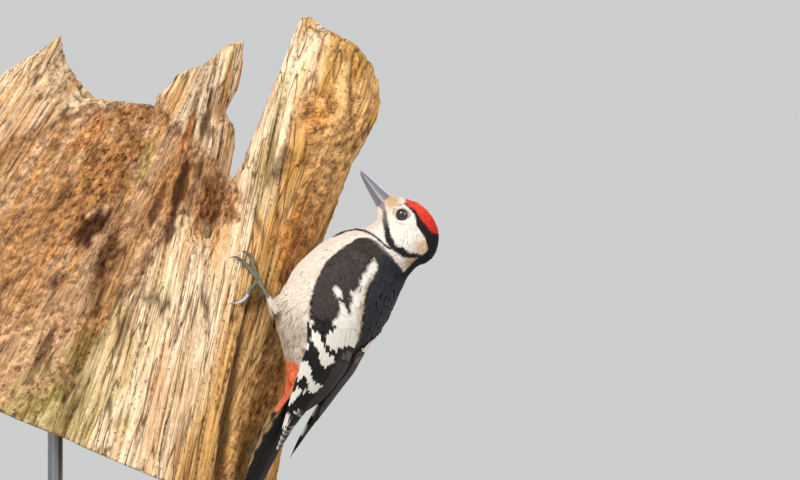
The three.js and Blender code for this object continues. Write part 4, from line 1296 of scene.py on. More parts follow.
class WOODPECKER_OT_tail(bpy.types.Operator):
    """Lay the twelve stiff feathers of the tail"""

    bl_idname = "woodpecker.tail"
    bl_label = "Tail"

    def execute(self, context):
        c = plumage()
        parts, vane, share = [], [], []
        for order in range(len(TAIL_TIPS)):
            for side in SIDES.values():
                v, f, t, b = tail_feather(side, order)
                parts.append((v, f))
                vane += [t, t]
                share += [b, b]
        share = np.concatenate(share)
        colours = paint(np.tile(rgb(c.quill) * 0.8, (len(share), 1)), c.buff, 0.8 * share)
        vertices, faces = joined(parts)
        material = feather_material("tail_feather", 0.42, 0.55)
        piece = new_mesh("tail_feathers", vertices, faces, material, colours,
                         np.concatenate(vane))
        slotted(piece, "plumage_black", "tail")
        return {"FINISHED"}


# ---------------- bill
BILL_BACK, BILL_TIP = 18.6, 39.2  # f; the back lies under the feathers of the face
BILL_ROWS, BILL_POINTS = 60, 31
# Rows of [f, top u, bottom u, half width] of each half.
UPPER_BILL = [[18.6, 3.7, -1.9, 4.6], [20.4, 3.3, -1.7, 4.2], [23, 2.8, -1.5, 3.7],
              [28, 2.1, -1.1, 2.9], [33.5, 1.35, -0.7, 2.0], [37.5, 0.7, -0.5, 1.2],
              [39.2, 0.25, -0.32, 0.55]]
LOWER_BILL = [[18.6, -2.1, -6.5, 4.2], [20.4, -1.85, -6.0, 3.9], [23, -1.65, -5.3, 3.4],
              [28, -1.25, -4.2, 2.6], [33.5, -0.85, -2.8, 1.7], [37, -0.65, -1.7, 1.0],
              [38.5, -0.5, -1.1, 0.45]]


def bill_half(rows, flat_below):
    """Half of the bill: a straight cutting edge, roofed to a ridge with a shallow groove."""
    f = mix(rows[0][0], rows[-1][0], np.linspace(0, 1, BILL_ROWS) ** 0.9)
    _, top, bottom, width = row(rows, f).T
    flat, ridge = (bottom, top) if flat_below else (top, bottom)
    w = np.linspace(0, math.pi, BILL_POINTS)
    lift = np.sin(w) ** 0.92 + 0.05 * np.exp(-((w - math.pi / 2) / 0.16) ** 2)
    groove = 0.045 * sum(np.exp(-((w - at) / 0.12) ** 2) for at in (0.62, math.pi - 0.62))
    lift = (lift - groove) / 1.05
    across = np.cos(w) * (1 + 0.03 * np.sin(w) ** 2)
    rings = np.stack([f[:, None].repeat(BILL_POINTS, 1), width[:, None] * across[None],
                      flat[:, None] + (ridge - flat)[:, None] * lift[None]], -1)
    vertices, faces = lofted(rings)
    if not flat_below:
        faces = [face[::-1] for face in faces]
    return SKULL.world(vertices), faces, vertices


SKIN_RELIEF = 0.0002  # m; how deep horn, scales and bare skin are patterned


class BillSettings(bpy.types.PropertyGroup):
    """The colours of the bill."""

    horn: colour_property("Horn", "Lilac-grey horn of the bill", "#77737C")
    # The ridge colour is a painted highlight along the cutting edge and the culmen; the dark colour
    # is the tip's own darker horn and painted shade on the sides.
    ridge: colour_property("Ridge", "Pale ridge and cutting edge", "#AAA5AC")
    dark: colour_property("Dark", "Darker side and tip", "#4B464C")
    base: colour_property("Base", "Yellowish base of the lower half", "#A99A86")


def horn_material():
    """Beta-keratin horn worn smooth by use: a satin grey with fine streaks along the bill."""
    material, tree, surface = new_material("bill_keratin", Roughness=0.36, IOR=1.54,
                                           Coat_Weight=0.12, Coat_Roughness=0.3)
    vane = add_node(tree, "ShaderNodeAttribute", attribute_name="Vane")
    stretched = add_node(tree, "ShaderNodeVectorMath",
                         [(0, vane.outputs["Vector"]), (1, (0.12, 3.2, 3.2))],
                         operation="MULTIPLY")
    streak = add_node(tree, "ShaderNodeTexNoise", [("Vector", stretched.outputs[0])], Scale=1.0,
                      Detail=5)
    shaded(tree, surface, streak.outputs[0], [(0.3, 0.78), (0.7, 1.12)])
    raised(tree, surface, streak.outputs[0], 0.25, SKIN_RELIEF)
    return material


class WOODPECKER_OT_bill(bpy.types.Operator):
    """Make the two halves of the bill"""

    bl_idname = "woodpecker.bill"
    bl_label = "Bill"

    def execute(self, context):
        c = context.scene.woodpecker_bill
        material = horn_material()
        for name, rows, flat_below in (("bill_upper", UPPER_BILL, True),
                                       ("bill_lower", LOWER_BILL, False)):
            vertices, faces, local = bill_half(rows, flat_below)
            along = (local[:, 0] - BILL_BACK) / (BILL_TIP - BILL_BACK)
            _, top, bottom, _ = row(rows, local[:, 0]).T
            height = (local[:, 2] - bottom) / (top - bottom)
            colour = np.tile(rgb(c.horn), (len(local), 1))
            if flat_below:
                # Painted shade on the upper half's side, between painted highlights along the cutting
                # edge and the culmen.
                colour = paint(colour, c.dark, 0.25 * smooth(0.3, 0.6, height))
                colour = paint(colour, c.ridge, 0.55 * smooth(0.45, 0.12, height))
                colour = paint(colour, c.ridge, 0.45 * smooth(0.86, 0.97, height))
            else:
                # Painted shade on the lower half up to the gape, under the upper half's edge; its
                # yellowish base is the horn's own.
                colour = paint(colour, c.dark, 0.5 * smooth(0.2, 0.7, height))
                colour = paint(colour, c.base, 0.75 * smooth(0.42, 0.1, height)
                               * smooth(0.85, 0.3, along))
            colour = paint(colour, c.dark, 0.6 * smooth(0.72, 1.0, along))
            piece = new_mesh(f"{name}_horn", vertices, faces, material, colour, local)
            slotted(piece, "bill_horn", name)
        return {"FINISHED"}


# ---------------- eyes
class EyeSettings(bpy.types.PropertyGroup):
    """The colours of the eyes and lids."""

    iris: colour_property("Iris", "Dark grey-brown of a young bird's iris", "#2A1A12")
    pupil: colour_property("Pupil", "Black of the pupil", "#050404")
    lid: colour_property("Lid", "Dark slate of the lid's edge", "#2B2725")
    rim: colour_property("Lid rim", "Pale outer rim of the lids", "#B9A88F")


def eye_material():
    """Cast glass over a painted iris, as in a mount: black-brown, with a hard bright glint."""
    material, tree, surface = new_material("glass_eye", Roughness=0.04, IOR=1.45, Coat_Weight=1.0,
                                           Coat_Roughness=0.02, Specular_IOR_Level=0.6)
    fibres = add_node(tree, "ShaderNodeTexNoise", Scale=2600, Detail=2)
    shaded(tree, surface, fibres.outputs[0], [(0.35, 0.7), (0.65, 1.25)])
    return material


def lid_material():
    """Bare wrinkled skin of the lids: mat, with fine pores."""
    material, tree, surface = new_material("lid_skin", Roughness=0.62, IOR=1.4)
    pores = add_node(tree, "ShaderNodeTexNoise", Scale=3800, Detail=3)
    shaded(tree, surface, pores.outputs[0], [(0.35, 0.75), (0.65, 1.15)])
    raised(tree, surface, pores.outputs[0], 0.4, SKIN_RELIEF)
    return material


BALL_RINGS, BALL_POINTS, LID_POINTS = 36, 40, 72


def round_eye(side, radius, turn, level):
    """Points round the eye's axis, at this level out from the head's middle."""
    return SKULL.world(np.stack([EYE[0] + radius * np.cos(turn), side * level,
                                 EYE[2] + radius * np.sin(turn)], -1))


def eyeball(side):
    """A ball with its poles on the eye's axis, so that the iris is a ring on its mesh."""
    polar = np.linspace(0.02, math.pi - 0.02, BALL_RINGS)
    turn = np.linspace(0, 2 * math.pi, BALL_POINTS, endpoint=False)
    radius = EYE_RADIUS * (1 + 0.03 * (1 - smooth(0.3, 0.7, polar)))
    depth = (radius * np.cos(polar))[:, None].repeat(BALL_POINTS, 1)
    vertices, faces = lofted(round_eye(side, (radius * np.sin(polar))[:, None], turn,
                                       EYE[1] + depth))
    if side > 0:
        faces = [face[::-1] for face in faces]
    return vertices, faces, np.repeat(polar, BALL_POINTS)


# The lids' opening: rows of [angle round the eye in degrees, inner radius, outer radius].
LID_ROWS = [[-180, 2.55, 3.5], [-135, 2.65, 3.7], [-90, 2.6, 3.9], [-45, 2.6, 3.7], [0, 2.75, 3.6],
            [45, 2.6, 3.6], [90, 2.5, 3.7], [135, 2.5, 3.6], [180, 2.55, 3.5]]


# The rim's section: rows of [share from the opening to the outside, height].
LID_SECTION = [[0.0, 0.10], [0.12, 0.34], [0.32, 0.40], [0.55, 0.28], [0.8, 0.22], [1.0, -0.05],
               [1.0, -0.7], [0.0, -0.7]]


def lids(side):
    """Both lids as one swollen rim that hugs the ball and runs out under the feathers."""
    turn = np.linspace(-math.pi, math.pi, LID_POINTS, endpoint=False)
    _, inner, outer = row(LID_ROWS, np.degrees(turn)).T
    share, height = np.array(LID_SECTION).T
    radius = inner[:, None] + (outer - inner)[:, None] * share[None]
    ball = np.sqrt(np.maximum(EYE_RADIUS ** 2 - np.minimum(radius, 3.2) ** 2, 0))
    level = EYE[1] + ball * 0.25 + np.sqrt(EYE_RADIUS ** 2 - 2.6 ** 2) * 0.72 + height[None]
    rings = round_eye(side, radius, turn[:, None], level)
    faces = grid_faces(LID_POINTS + 1, len(share), True) % (LID_POINTS * len(share))
    faces = faces if side > 0 else faces[:, ::-1]
    return rings.reshape(-1, 3), faces.tolist(), np.tile(share, LID_POINTS)


class WOODPECKER_OT_eyes(bpy.types.Operator):
    """Set the eyes and their lids"""

    bl_idname = "woodpecker.eyes"
    bl_label = "Eyes"

    def execute(self, context):
        c = context.scene.woodpecker_eye
        glass, bare_skin = eye_material(), lid_material()
        for name, side in SIDES.items():
            vertices, faces, polar = eyeball(side)
            colour = np.tile(rgb(c.iris), (len(vertices), 1))
            colour = paint(colour, c.pupil, 1 - smooth(0.42, 0.5, polar))
            colour = paint(colour, c.pupil, smooth(0.78, 0.95, polar))
            piece = new_mesh(f"eyeball_{name}", vertices, faces, glass, colour)
            slotted(piece, "eye_glass", f"eye_{name}")
            vertices, faces, share = lids(side)
            colour = paint(np.tile(rgb(c.lid), (len(vertices), 1)), c.rim, smooth(0.3, 0.7, share))
            slotted(new_mesh(f"lids_{name}", vertices, faces, bare_skin, colour), "plumage_black")
        return {"FINISHED"}


# ---------------- feet
# Where the feet hold: [x, z] on the wood's front for the left foot and [y, z] on its right side
# for the right foot. Each toe has its joints from the foot out, then its claw's places.
TOES = {
    "left": [
        [[[23.4, 158.5], [24.6, 155.2], [25.2, 152.2]], [[25.6, 150.4], [25.4, 148.4]]],
        [[[22.4, 161], [20.3, 166.8], [19.2, 171], [17.9, 173.4]], [[16.4, 175], [13.4, 175.6]]],
        [[[22.2, 160.8], [19.2, 164.7], [16.1, 168.4], [13.7, 170.8]],
         [[10.9, 172.5], [7.2, 172.2]]],
        [[[22.6, 159.8], [20.3, 158], [18.4, 155.6], [17.3, 153.2]],
         [[15.1, 150.4], [12, 148.7], [7.6, 148.3]]]],
    "right": [
        [[[13, 162], [12.4, 158.6], [12.8, 155.6]], [[13.2, 153.6], [14, 151.6]]],
        [[[13, 165.5], [13.6, 170], [13.8, 174], [13.8, 177]], [[13, 178.4], [11, 179.6]]],
        [[[13.6, 165], [17, 169], [20.4, 172.4], [23.4, 175]], [[25.6, 176.6], [28.4, 177.2]]],
        [[[13.6, 163.6], [18, 162.4], [22.4, 160.6], [26.4, 158.4]],
         [[29, 156.6], [32, 153.6]]]]}
LONG_CLAW = ("left", 3)  # the side and number of the long pale rear claw
# Radii from the root to the tip.
SHANK_RADII, TOE_RADII = (1.5, 1.15, 1.05, 1.5), (1.35, 1.2, 1.05, 1.15, 0.9)
LONG_CLAW_RADII, CLAW_RADII = (1.0, 0.85, 0.6, 0.12), (0.85, 0.62, 0.4, 0.1)
STAND_OFFSET = -6.0  # between the feet's x and the shared frame's
HEELS = {"left": (30.8, -23.5, 146.4), "right": (58, 0, 148.5)}
TOE_LIFT = 1.75  # of a toe's middle over the wood
CLAW_LIFT, CLAW_TIP_LIFT = 1.5, 0.5


class FootSettings(bpy.types.PropertyGroup):
    """The colours of the feet and claws."""

    scale: colour_property("Scales", "Olive-grey scales of toes and shank", "#716E58")
    # The crease colour is painted shade, laid in the creases between the scales.
    crease: colour_property("Creases", "Dark creases between the scales", "#24211C")
    claw: colour_property("Claws", "Dark horn of the claws", "#2C2420")
    # The pale claw colour is partly the long rear claw's grey horn and partly a painted highlight on
    # it.
    pale_claw: colour_property("Pale claw", "Grey side of the long rear claw", "#A9A5B0")


TOE_BREADTH = (-1.6, 0, 1.6)


def on_wood(tree, side, places, lift):
    """Places on the wood where rays from the front or the right meet it, lifted back. Each takes
    the highest wood within a toe's breadth, so that a toe spans the grooves."""
    found = []
    way = np.array((0, 1, 0) if side == "left" else (-1, 0, 0))
    for across, z in places:
        hits = []
        for x in TOE_BREADTH:
            for h in TOE_BREADTH:
                start = (across - STAND_OFFSET + x, -200, z + h) if side == "left" else (
                    200, across + x, z + h)
                hits.append(np.array(tree.ray_cast(Vector(start), Vector(way))[0]))
        middle = hits[len(hits) // 2]
        highest = min(hit @ way for hit in hits)
        found.append(middle + way * (highest - middle @ way - lift))
    return np.array(found)


def tube(points, radii, sides=18, rows=40, scutes=0.0, spacing=1.0):
    """A round rod along points; scutes are overlapping rings this high and this far apart."""
    points = np.asarray(points, float)
    steps = np.linspace(0, 1, len(points))
    share = np.linspace(0, 1, rows)
    line = row(np.column_stack([steps, points]), share)[:, 1:]
    way = unit(np.gradient(line, axis=0))
    start = np.cross(way[0], (0.31, 0.77, 0.55))
    normal = []
    for w in way:
        start = start - w * (start @ w)
        start = start / np.linalg.norm(start)
        normal.append(start)
    normal = np.array(normal)
    side = np.cross(way, normal)
    length = np.concatenate([[0], np.cumsum(np.linalg.norm(np.diff(line, axis=0), axis=1))])
    radius = np.interp(share, np.linspace(0, 1, len(radii)), radii)
    saw = (length / spacing) % 1
    radius = radius + scutes * (saw ** 2 - 0.4)
    turn = np.linspace(0, 2 * math.pi, sides, endpoint=False)
    rings = line[:, None] + radius[:, None, None] * (
        normal[:, None] * np.cos(turn)[None, :, None] + side[:, None] * np.sin(turn)[None, :, None])
    vertices, faces = lofted(rings)
    return vertices, faces, np.repeat(saw, sides), np.repeat(share, sides)


def toe_places():
    """Where each foot's toes lie on the wood, the wood itself, and each palm."""
    vertices, _, faces = merged_node("perch")
    wood = BVHTree.FromPolygons(vertices.tolist(), faces)
    places = {side: [on_wood(wood, side, toe, TOE_LIFT) for toe, _ in toes]
              for side, toes in TOES.items()}
    palms = {side: np.mean([p[0] for p in found], axis=0) for side, found in places.items()}
    return places, wood, palms


def shanks(palms):
    """Each shank's heel and its lower end at the palm."""
    return {side: (np.array(HEELS[side]) - (STAND_OFFSET, 0, 0), palm)
            for side, palm in palms.items()}


class WOODPECKER_OT_feet(bpy.types.Operator):
    """Make the feet and claws that hold the trunk"""

    bl_idname = "woodpecker.feet"
    bl_label = "Feet and claws"

    def execute(self, context):
        c = context.scene.woodpecker_foot
        feet, wood, palms = toe_places()
        hide, horn = scale_material(), claw_material()
        for side, toes in TOES.items():
            places = feet[side]
            heel, palm = shanks(palms)[side]
            shank = [heel, mix(heel, palm, 0.5), palm]
            pieces = [tube(shank, SHANK_RADII, sides=20, rows=60, scutes=0.14, spacing=1.5)]
            nails, tones = [], []
            for number, (place, (_, claw)) in enumerate(zip(places, toes)):
                line = np.concatenate([[palm], place])
                pieces.append(tube(line, TOE_RADII, rows=70, scutes=0.24, spacing=1.2))
                down = on_wood(wood, side, claw, CLAW_LIFT)
                down[-1] = on_wood(wood, side, claw[-1:], CLAW_TIP_LIFT)[0]
                end = place[-1] + unit(place[-1] - place[-2]) * 0.1
                long = (side, number) == LONG_CLAW
                nail = tube(np.concatenate([[end], down]),
                            LONG_CLAW_RADII if long else CLAW_RADII, sides=16, rows=36)
                nails.append(nail)
                # The long rear claw is painted pale, fading at its tip: partly its grey horn, partly
                # a painted highlight; the other claws take a trace of it.
                tones.append((1.0 if long else 0.1) * (1 - smooth(0.7, 1.0, nail[3])))
            v, f = joined([(p[0], p[1]) for p in pieces])
            saw = np.concatenate([p[2] for p in pieces])
            # Each scale is darkened just past the edge of the one before it: painted shade in the
            # crease between them.
            colour = paint(np.tile(rgb(c.scale), (len(v), 1)), c.crease, smooth(0.5, 0.05, saw))
            slotted(new_mesh(f"foot_{side}_skin", v, f, hide, colour), "leg_scales",
                    f"foot_{side}")
            v, f = joined([(p[0], p[1]) for p in nails])
            colour = paint(np.tile(rgb(c.claw), (len(v), 1)), c.pale_claw, np.concatenate(tones))
            piece = new_mesh(f"claws_{side}", v, f, horn, colour)
            slotted(piece, "claw_horn", *[f"claw_{side}_{k}" for k in range(1, 5)])
        return {"FINISHED"}


def scale_material():
    """Horny scales of the toes: dry, slightly glossy plates, each darkened towards its edge as
    painted shade in the creases between them.
    """
    material, tree, surface = new_material("foot_scales", Roughness=0.5, IOR=1.5)
    cells = add_node(tree, "ShaderNodeTexVoronoi", Scale=1400)
    shaded(tree, surface, cells.outputs[0], [(0.1, 1.15), (0.7, 0.7)])
    raised(tree, surface, cells.outputs[0], 0.3, SKIN_RELIEF, invert=True)
    return material


def claw_material():
    """Claw horn: dark, smooth and faintly translucent, glossier than the scales."""
    material, tree, surface = new_material("claw_keratin", Roughness=0.3, IOR=1.54)
    streak = add_node(tree, "ShaderNodeTexNoise", Scale=1500, Detail=4)
    shaded(tree, surface, streak.outputs[0], [(0.3, 0.75), (0.7, 1.2)])
    return material


# ---------------- trunk
# Which way the fibres run: rows of [place across the trunk at height GRAIN_LEVEL, degrees that
# they lean to the right].
GRAIN_LEVEL = 150.0
GRAIN_ROWS = [[-150, 33], [-104, 30], [-60, 25], [-20, 13], [20, 12], [45, 21], [110, 21]]
PERCH_VOXEL = 1.2
WOOD_RELIEF = 0.0011  # m; how deep the fibres and cracks are patterned
CREVICE_DEPTH = 3.5
SAW_WAY = (0.42, 0, 1)  # square to the saw cut at the foot, into the wood
# The crevice between the slab and the spike, cut in and darkened with painted shade: [x, z] down the
# front, with its half width.
CREVICE = [[24.6, 150, 2.2], [19.6, 129, 3.0], [14.6, 98, 3.4], [9.6, 62, 3.6]]
# Patches of the wood's front: [x, z], half breadth across the fibres and along them, which of
# the trunk's colours, how strong, and how crumbly the wood is there.
# The patches of the darkest colour are painted shade in the hollows and cracks of the wood.
PATCHES = [
    [-92, 178, 24, 60, "brown", 0.5, 0.6], [-88, 250, 16, 34, "brown", 0.4, 0.2],
    [-54, 214, 17, 40, "brown", 0.95, 1.0], [-58, 189, 7, 12, "hollow_shade", 1.0, 1.0],
    [-50, 173, 6, 15, "hollow_shade", 0.7, 1.0], [-73, 206, 3.5, 13, "hollow_shade", 0.65, 0.8],
    [-75, 161, 5, 5, "hollow_shade", 0.6, 0.8], [-84, 122, 2.2, 24, "hollow_shade", 0.75, 0.3],
    [-60, 238, 9, 12, "rust", 0.5, 1.0], [-30, 249, 17, 8, "brown", 0.6, 0.9],
    [-90, 84, 28, 26, "algae", 0.5, 0.35], [-31, 222, 5, 12, "algae", 0.6, 0.5],
    [-62, 104, 16, 45, "algae", 0.32, 0.1], [-28, 140, 9, 42, "algae", 0.2, 0.0],
    [-8, 238, 4.5, 13, "rust", 0.95, 0.3], [1, 244, 3.2, 16, "hollow_shade", 0.9, 0.2],
    [-16, 210, 13, 24, "brown", 0.85, 0.5], [-13, 206, 4.2, 26, "hollow_shade", 0.95, 0.3],
    [-24, 200, 3.0, 22, "hollow_shade", 0.8, 0.3], [-4, 214, 2.2, 15, "hollow_shade", 0.6, 0.2],
    [6, 200, 13, 11, "brown", 0.55, 1.0], [51, 184, 10, 26, "rust", 0.55, 0.7],
    [58, 246, 9, 10, "rust", 0.4, 0.8], [70, 226, 9, 34, "honey", 0.7, 0.8],
    [41, 221, 3.6, 8, "hollow_shade", 0.6, 0.3], [36, 236, 3.5, 30, "algae", 0.45, 0.0],
    [28, 96, 12, 62, "brown", 0.15, 0.7], [-24, 98, 4, 34, "rust", 0.4, 0.0],
    [-9, 92, 2.6, 30, "rust", 0.3, 0.0], [24, 147, 5, 8, "hollow_shade", 0.6, 0.6]]
# The outline of the browner wood left of the pale slab: [x, z].
OLD_WOOD = [[-74.6, 249], [-27.8, 254], [-1.8, 228], [14.8, 212], [17, 192], [0.8, 190],
            [-13.2, 198], [-20, 185.5], [-35.6, 158], [-53.8, 132], [-74.6, 98], [-116, 77],
            [-116, 226], [-90, 236]]
KNOTS = [[48, 229, 6, 2.2], [39, 154, 4, 1.6], [-58, 166, 7, 1.8]]  # [x, z], radius, height


def grain(p):
    """Each point's place in the wood: which fibre, how deep and how far along it."""
    x, y, z = p.T
    fibre = x.copy()
    for _ in range(20):
        lean = np.radians(row(GRAIN_ROWS, fibre)[:, 1])
        fibre += 0.6 * (x - (z - GRAIN_LEVEL) * np.tan(lean) - fibre)
    return np.stack([fibre, y, (z - GRAIN_LEVEL) / np.cos(lean)], 1)


def wood_noise(place, across, along, offset=0.0):
    """Noise drawn out along the grain: about this many millimetres across and along."""
    q = place / (across, 3 * across, along) + offset
    return np.array([noise.noise(v) for v in q])


def perch_colours(p, place):
    """Weathered wood: its colour, and in a fourth column how crumbly it is."""
    c = bpy.context.scene.woodpecker_trunk
    x, y, z = p.T
    slab = smooth(-12, -20, y) * smooth(205, 175, z + 0.6 * np.abs(x + 12.4))
    strands = wood_noise(place, 5, 60, 3.0) + 0.3 * wood_noise(place, 26, 26)
    colour = paint(np.tile(rgb(c.cream), (len(p), 1)), c.honey,
                   smooth(-0.15, 0.5, strands) * (1 - 0.5 * slab))
    colour = paint(colour, c.yellow, 0.72 * smooth(16, 30, x - 0.35 * (z - 170)))
    ragged = wood_noise(place, 7, 12, 5.0) + 0.6 * wood_noise(place, 2.6, 5, 8.0)
    inside = signed_distance(p[:, [0, 2]], OLD_WOOD, 9) + 4 * ragged
    old = smooth(-1.5, 1.5, inside) * smooth(30, 8, y)
    colour = paint(colour, c.brown, 0.7 * old)
    # Painted shadow: a dark band just inside the old wood's edge, left of x = -8.
    colour = paint(colour, c.hollow_shade, 0.7 * old * smooth(5, 0.5, inside) * (x < -8))
    crumbly = 0.8 * old * smooth(-0.6, 0.3, ragged)
    for px, pz, across, along, name, strength, crumble in PATCHES:
        middle = grain(np.array([[px, 0.0, pz]]))[0]
        away = np.hypot((place[:, 0] - middle[0]) / across, (place[:, 2] - middle[2]) / along)
        share = smooth(1.3, 0.6, away + 0.7 * ragged) * smooth(30, 8, y)
        colour = paint(colour, getattr(c, name), strength * share)
        crumbly = np.maximum(crumbly, crumble * share)
    rear = smooth(8, 30, y)
    colour = paint(colour, c.brown, 0.6 * rear * smooth(-0.3, 0.3, strands))
    crumbly = np.maximum(crumbly, 0.6 * rear * smooth(0, 0.4, ragged))
    return np.column_stack([colour, crumbly])


# The wood's patterns: size in millimetres (across, deep, along), detail, roughness, and what
# they do to the colour.
# The darkest stops of the cracks, pits and crumbs are painted shade in those hollows.
WOOD_PATTERNS = {
    "fibres": ((0.5, 1.4, 10), 6, 0.68,
               [(0.30, (0.30, 0.22, 0.16)), (0.42, (0.84, 0.79, 0.73)),
                (0.56, (1.08, 1.06, 1.02)), (0.70, (1.45, 1.42, 1.35))]),
    "strands": ((1.9, 6, 60), 3, 0.5,
                [(0.29, (0.30, 0.21, 0.13)), (0.41, (0.86, 0.80, 0.72)),
                 (0.56, (1.08, 1.07, 1.05)), (0.75, (1.22, 1.22, 1.18))]),
    "cracks": ((3.6, 14, 80), 1, 0.5,
               [(0.48, 1.0), (0.495, (0.16, 0.10, 0.06)), (0.505, (0.16, 0.10, 0.06)),
                (0.52, 1.0)]),
    "pits": ((1.0, 1.0, 1.7), 2, 0.5, [(0.28, (0.22, 0.15, 0.10)), (0.36, 1.0)]),
    "crumbs": ((3.4, 4.2, 4.6), 9, 0.8,
               [(0.38, (0.07, 0.04, 0.02)), (0.45, (0.46, 0.36, 0.28)),
                (0.52, (1.05, 0.98, 0.9)), (0.61, (1.9, 1.75, 1.55))])}


def wood_material():
    """Dead standing wood, bleached and split by weather: dry mat fibres, strands with dark
    cracks between them, and pits. The thinnest fibres are drawn 0.5 mm wide so that they show."""
    material, tree, surface = new_material("weathered_wood", Roughness=0.86, IOR=1.45,
                                           Specular_IOR_Level=0.2)
    colour = add_node(tree, "ShaderNodeAttribute", attribute_name="Plumage")
    place = add_node(tree, "ShaderNodeAttribute", attribute_name="Vane").outputs["Vector"]
    crumbly = colour.outputs["Alpha"]
    cloud, tone = {}, {}
    for name, (size, detail, roughness, stops) in WOOD_PATTERNS.items():
        scaled = add_node(tree, "ShaderNodeVectorMath", [(0, place), (1, [1 / s for s in size])],
                          operation="MULTIPLY")
        cloud[name] = add_node(tree, "ShaderNodeTexNoise", [("Vector", scaled.outputs[0])],
                               Scale=1.0, Detail=detail, Roughness=roughness).outputs[0]
        tone[name] = add_node(tree, "ShaderNodeValToRGB", [(0, cloud[name])], stops).outputs[0]
    shade = layered(tree, tone["fibres"], [
        ("MULTIPLY", 1.0, tone["strands"]), ("MULTIPLY", 0.85, tone["cracks"]),
        ("MIX", crumbly, tone["crumbs"]), ("MULTIPLY", 0.8, tone["pits"])])
    shade = layered(tree, colour.outputs["Color"], [("MULTIPLY", 1.0, shade)])
    height = layered(tree, cloud["fibres"], [
        ("ADD", 1.0, cloud["strands"]), ("MIX", crumbly, cloud["crumbs"]),
        ("MULTIPLY", 0.6, tone["cracks"]), ("MULTIPLY", 0.6, tone["pits"])])
    tree.links.new(shade, surface.inputs["Base Color"])
    raised(tree, surface, height, 0.9, WOOD_RELIEF)
    return material


class WOODPECKER_OT_trunk(bpy.types.Operator):
    """Weather the length of trunk that the bird clings to"""

    bl_idname = "woodpecker.trunk"
    bl_label = "Trunk"

    def execute(self, context):
        vertices, _, faces = merged_node("perch")
        p, normals, faces = arrays(remeshed(vertices, faces, PERCH_VOXEL, 2))
        c = context.scene.woodpecker_trunk
        relief = c.grain / MM
        place = grain(p)
        x, y, z = p.T
        colours = perch_colours(p, place)
        crumbly = colours[:, 3]
        crack = 1 - smooth(0.0, 0.10, np.abs(wood_noise(place, 6, 90)))
        fine = 1 - smooth(0.0, 0.15, np.abs(wood_noise(place, 3.4, 45, 7.0)))
        strands = wood_noise(place, 2.4, 30, 11.0)
        lumps = wood_noise(place, 4.5, 6, 2.0) + 0.6 * wood_noise(place, 2.2, 2.6, 4.0)
        middle, level, width = np.array(CREVICE)[::-1].T
        away = np.abs(x - np.interp(z, level, middle)) / np.interp(z, level, width)
        crevice = (1 - smooth(0.4, 1.2, away)) * smooth(155, 145, z) * (y < 0)
        sawn = normals @ unit(np.array(SAW_WAY)) < -0.85
        split = relief * (0.65 * crack + 0.3 * fine) - 0.45 * strands
        depth = mix(split, relief * 0.3 - 1.1 * lumps, crumbly) + CREVICE_DEPTH * crevice
        for kx, kz, radius, height in KNOTS:
            depth -= height * np.exp(-((x - kx) ** 2 + (z - kz) ** 2) / radius ** 2) * (y < 5)
        moved = p - normals * np.where(sawn, 0.1, depth)[:, None]
        # Painted shade: the cracks, the crevice and the low places of the crumbly wood are darkened,
        # as shade falls in them.
        shade = np.clip(0.8 * crack + 0.3 * fine, 0, 1) * (1 - crumbly)
        shade = np.clip(shade + 0.9 * crevice + 0.5 * crumbly * smooth(0.1, -0.4, lumps), 0, 1)
        colours[:, :3] = paint(colours[:, :3], c.hollow_shade, 0.85 * shade * ~sawn)
        piece = new_mesh("weathered_trunk", moved, faces, wood_material(), colours, place)
        slotted(piece, "trunk_wood", "perch")
        return {"FINISHED"}


# ---------------- stand
class StandSettings(bpy.types.PropertyGroup):
    """The finish of the display stand."""

    board: colour_property("Board", "Dark stain of the base", "#3B2A1E")
    figure: colour_property("Figure", "Lighter figure in the base's wood", "#6A4C34")
    steel: colour_property("Rods", "Brushed steel of the rods", "#9A9CA0")


def stretched_noise(tree, size, **settings):
    """A pattern in the piece's own space, of this size in metres each way."""
    place = add_node(tree, "ShaderNodeTexCoord").outputs["Object"]
    stretched = add_node(tree, "ShaderNodeMapping", [(0, place), ("Scale", size)],
                         vector_type="TEXTURE")
    return add_node(tree, "ShaderNodeTexNoise", [(0, stretched.outputs[0])], Scale=1.0,
                    **settings).outputs[0]


def board_material(c):
    """Walnut, sanded, stained and satin varnished: dark streaks along the board."""
    material, tree, surface = new_material("stained_walnut", Roughness=0.38, IOR=1.5,
                                           Coat_Weight=0.3, Coat_Roughness=0.25)
    figure = stretched_noise(tree, (0.06, 0.004, 0.004), Detail=6, Distortion=0.8)
    colour = add_node(tree, "ShaderNodeValToRGB", [(0, figure)], [(0.32, c.board), (0.7, c.figure)])
    tree.links.new(colour.outputs[0], surface.inputs["Base Color"])
    raised(tree, surface, figure, 0.15, 0.0003)
    return material


def rod_material(c):
    """Stainless steel rod, brushed along its length: soft bright streaks."""
    material, tree, surface = new_material("brushed_steel", Metallic=1.0, Roughness=0.34)
    brushed = stretched_noise(tree, (0.0004, 0.0004, 0.02), Detail=3)
    stops = [(0.3, 0.7 * rgb(c.steel)), (0.7, c.steel)]
    colour = add_node(tree, "ShaderNodeValToRGB", [(0, brushed)], stops)
    tree.links.new(colour.outputs[0], surface.inputs["Base Color"])
    return material


class WOODPECKER_OT_stand(bpy.types.Operator):
    """Finish the stand's base and rods"""

    bl_idname = "woodpecker.stand"
    bl_label = "Stand"

    def execute(self, context):
        c = context.scene.woodpecker_stand
        board, steel = board_material(c), rod_material(c)
        for name, node in NODES.items():
            if name.startswith("stand_"):
                node.data.materials.clear()
                node.data.materials.append(board if name == "stand_base" else steel)
        return {"FINISHED"}


# ---------------- stage
CAMERA_DISTANCE = 5.0  # m
VIEW_WIDTH = 0.416  # m across the camera's view at the bird
SENSOR = 36  # mm
AIM = (0.1022, -0.02, 0.1814)
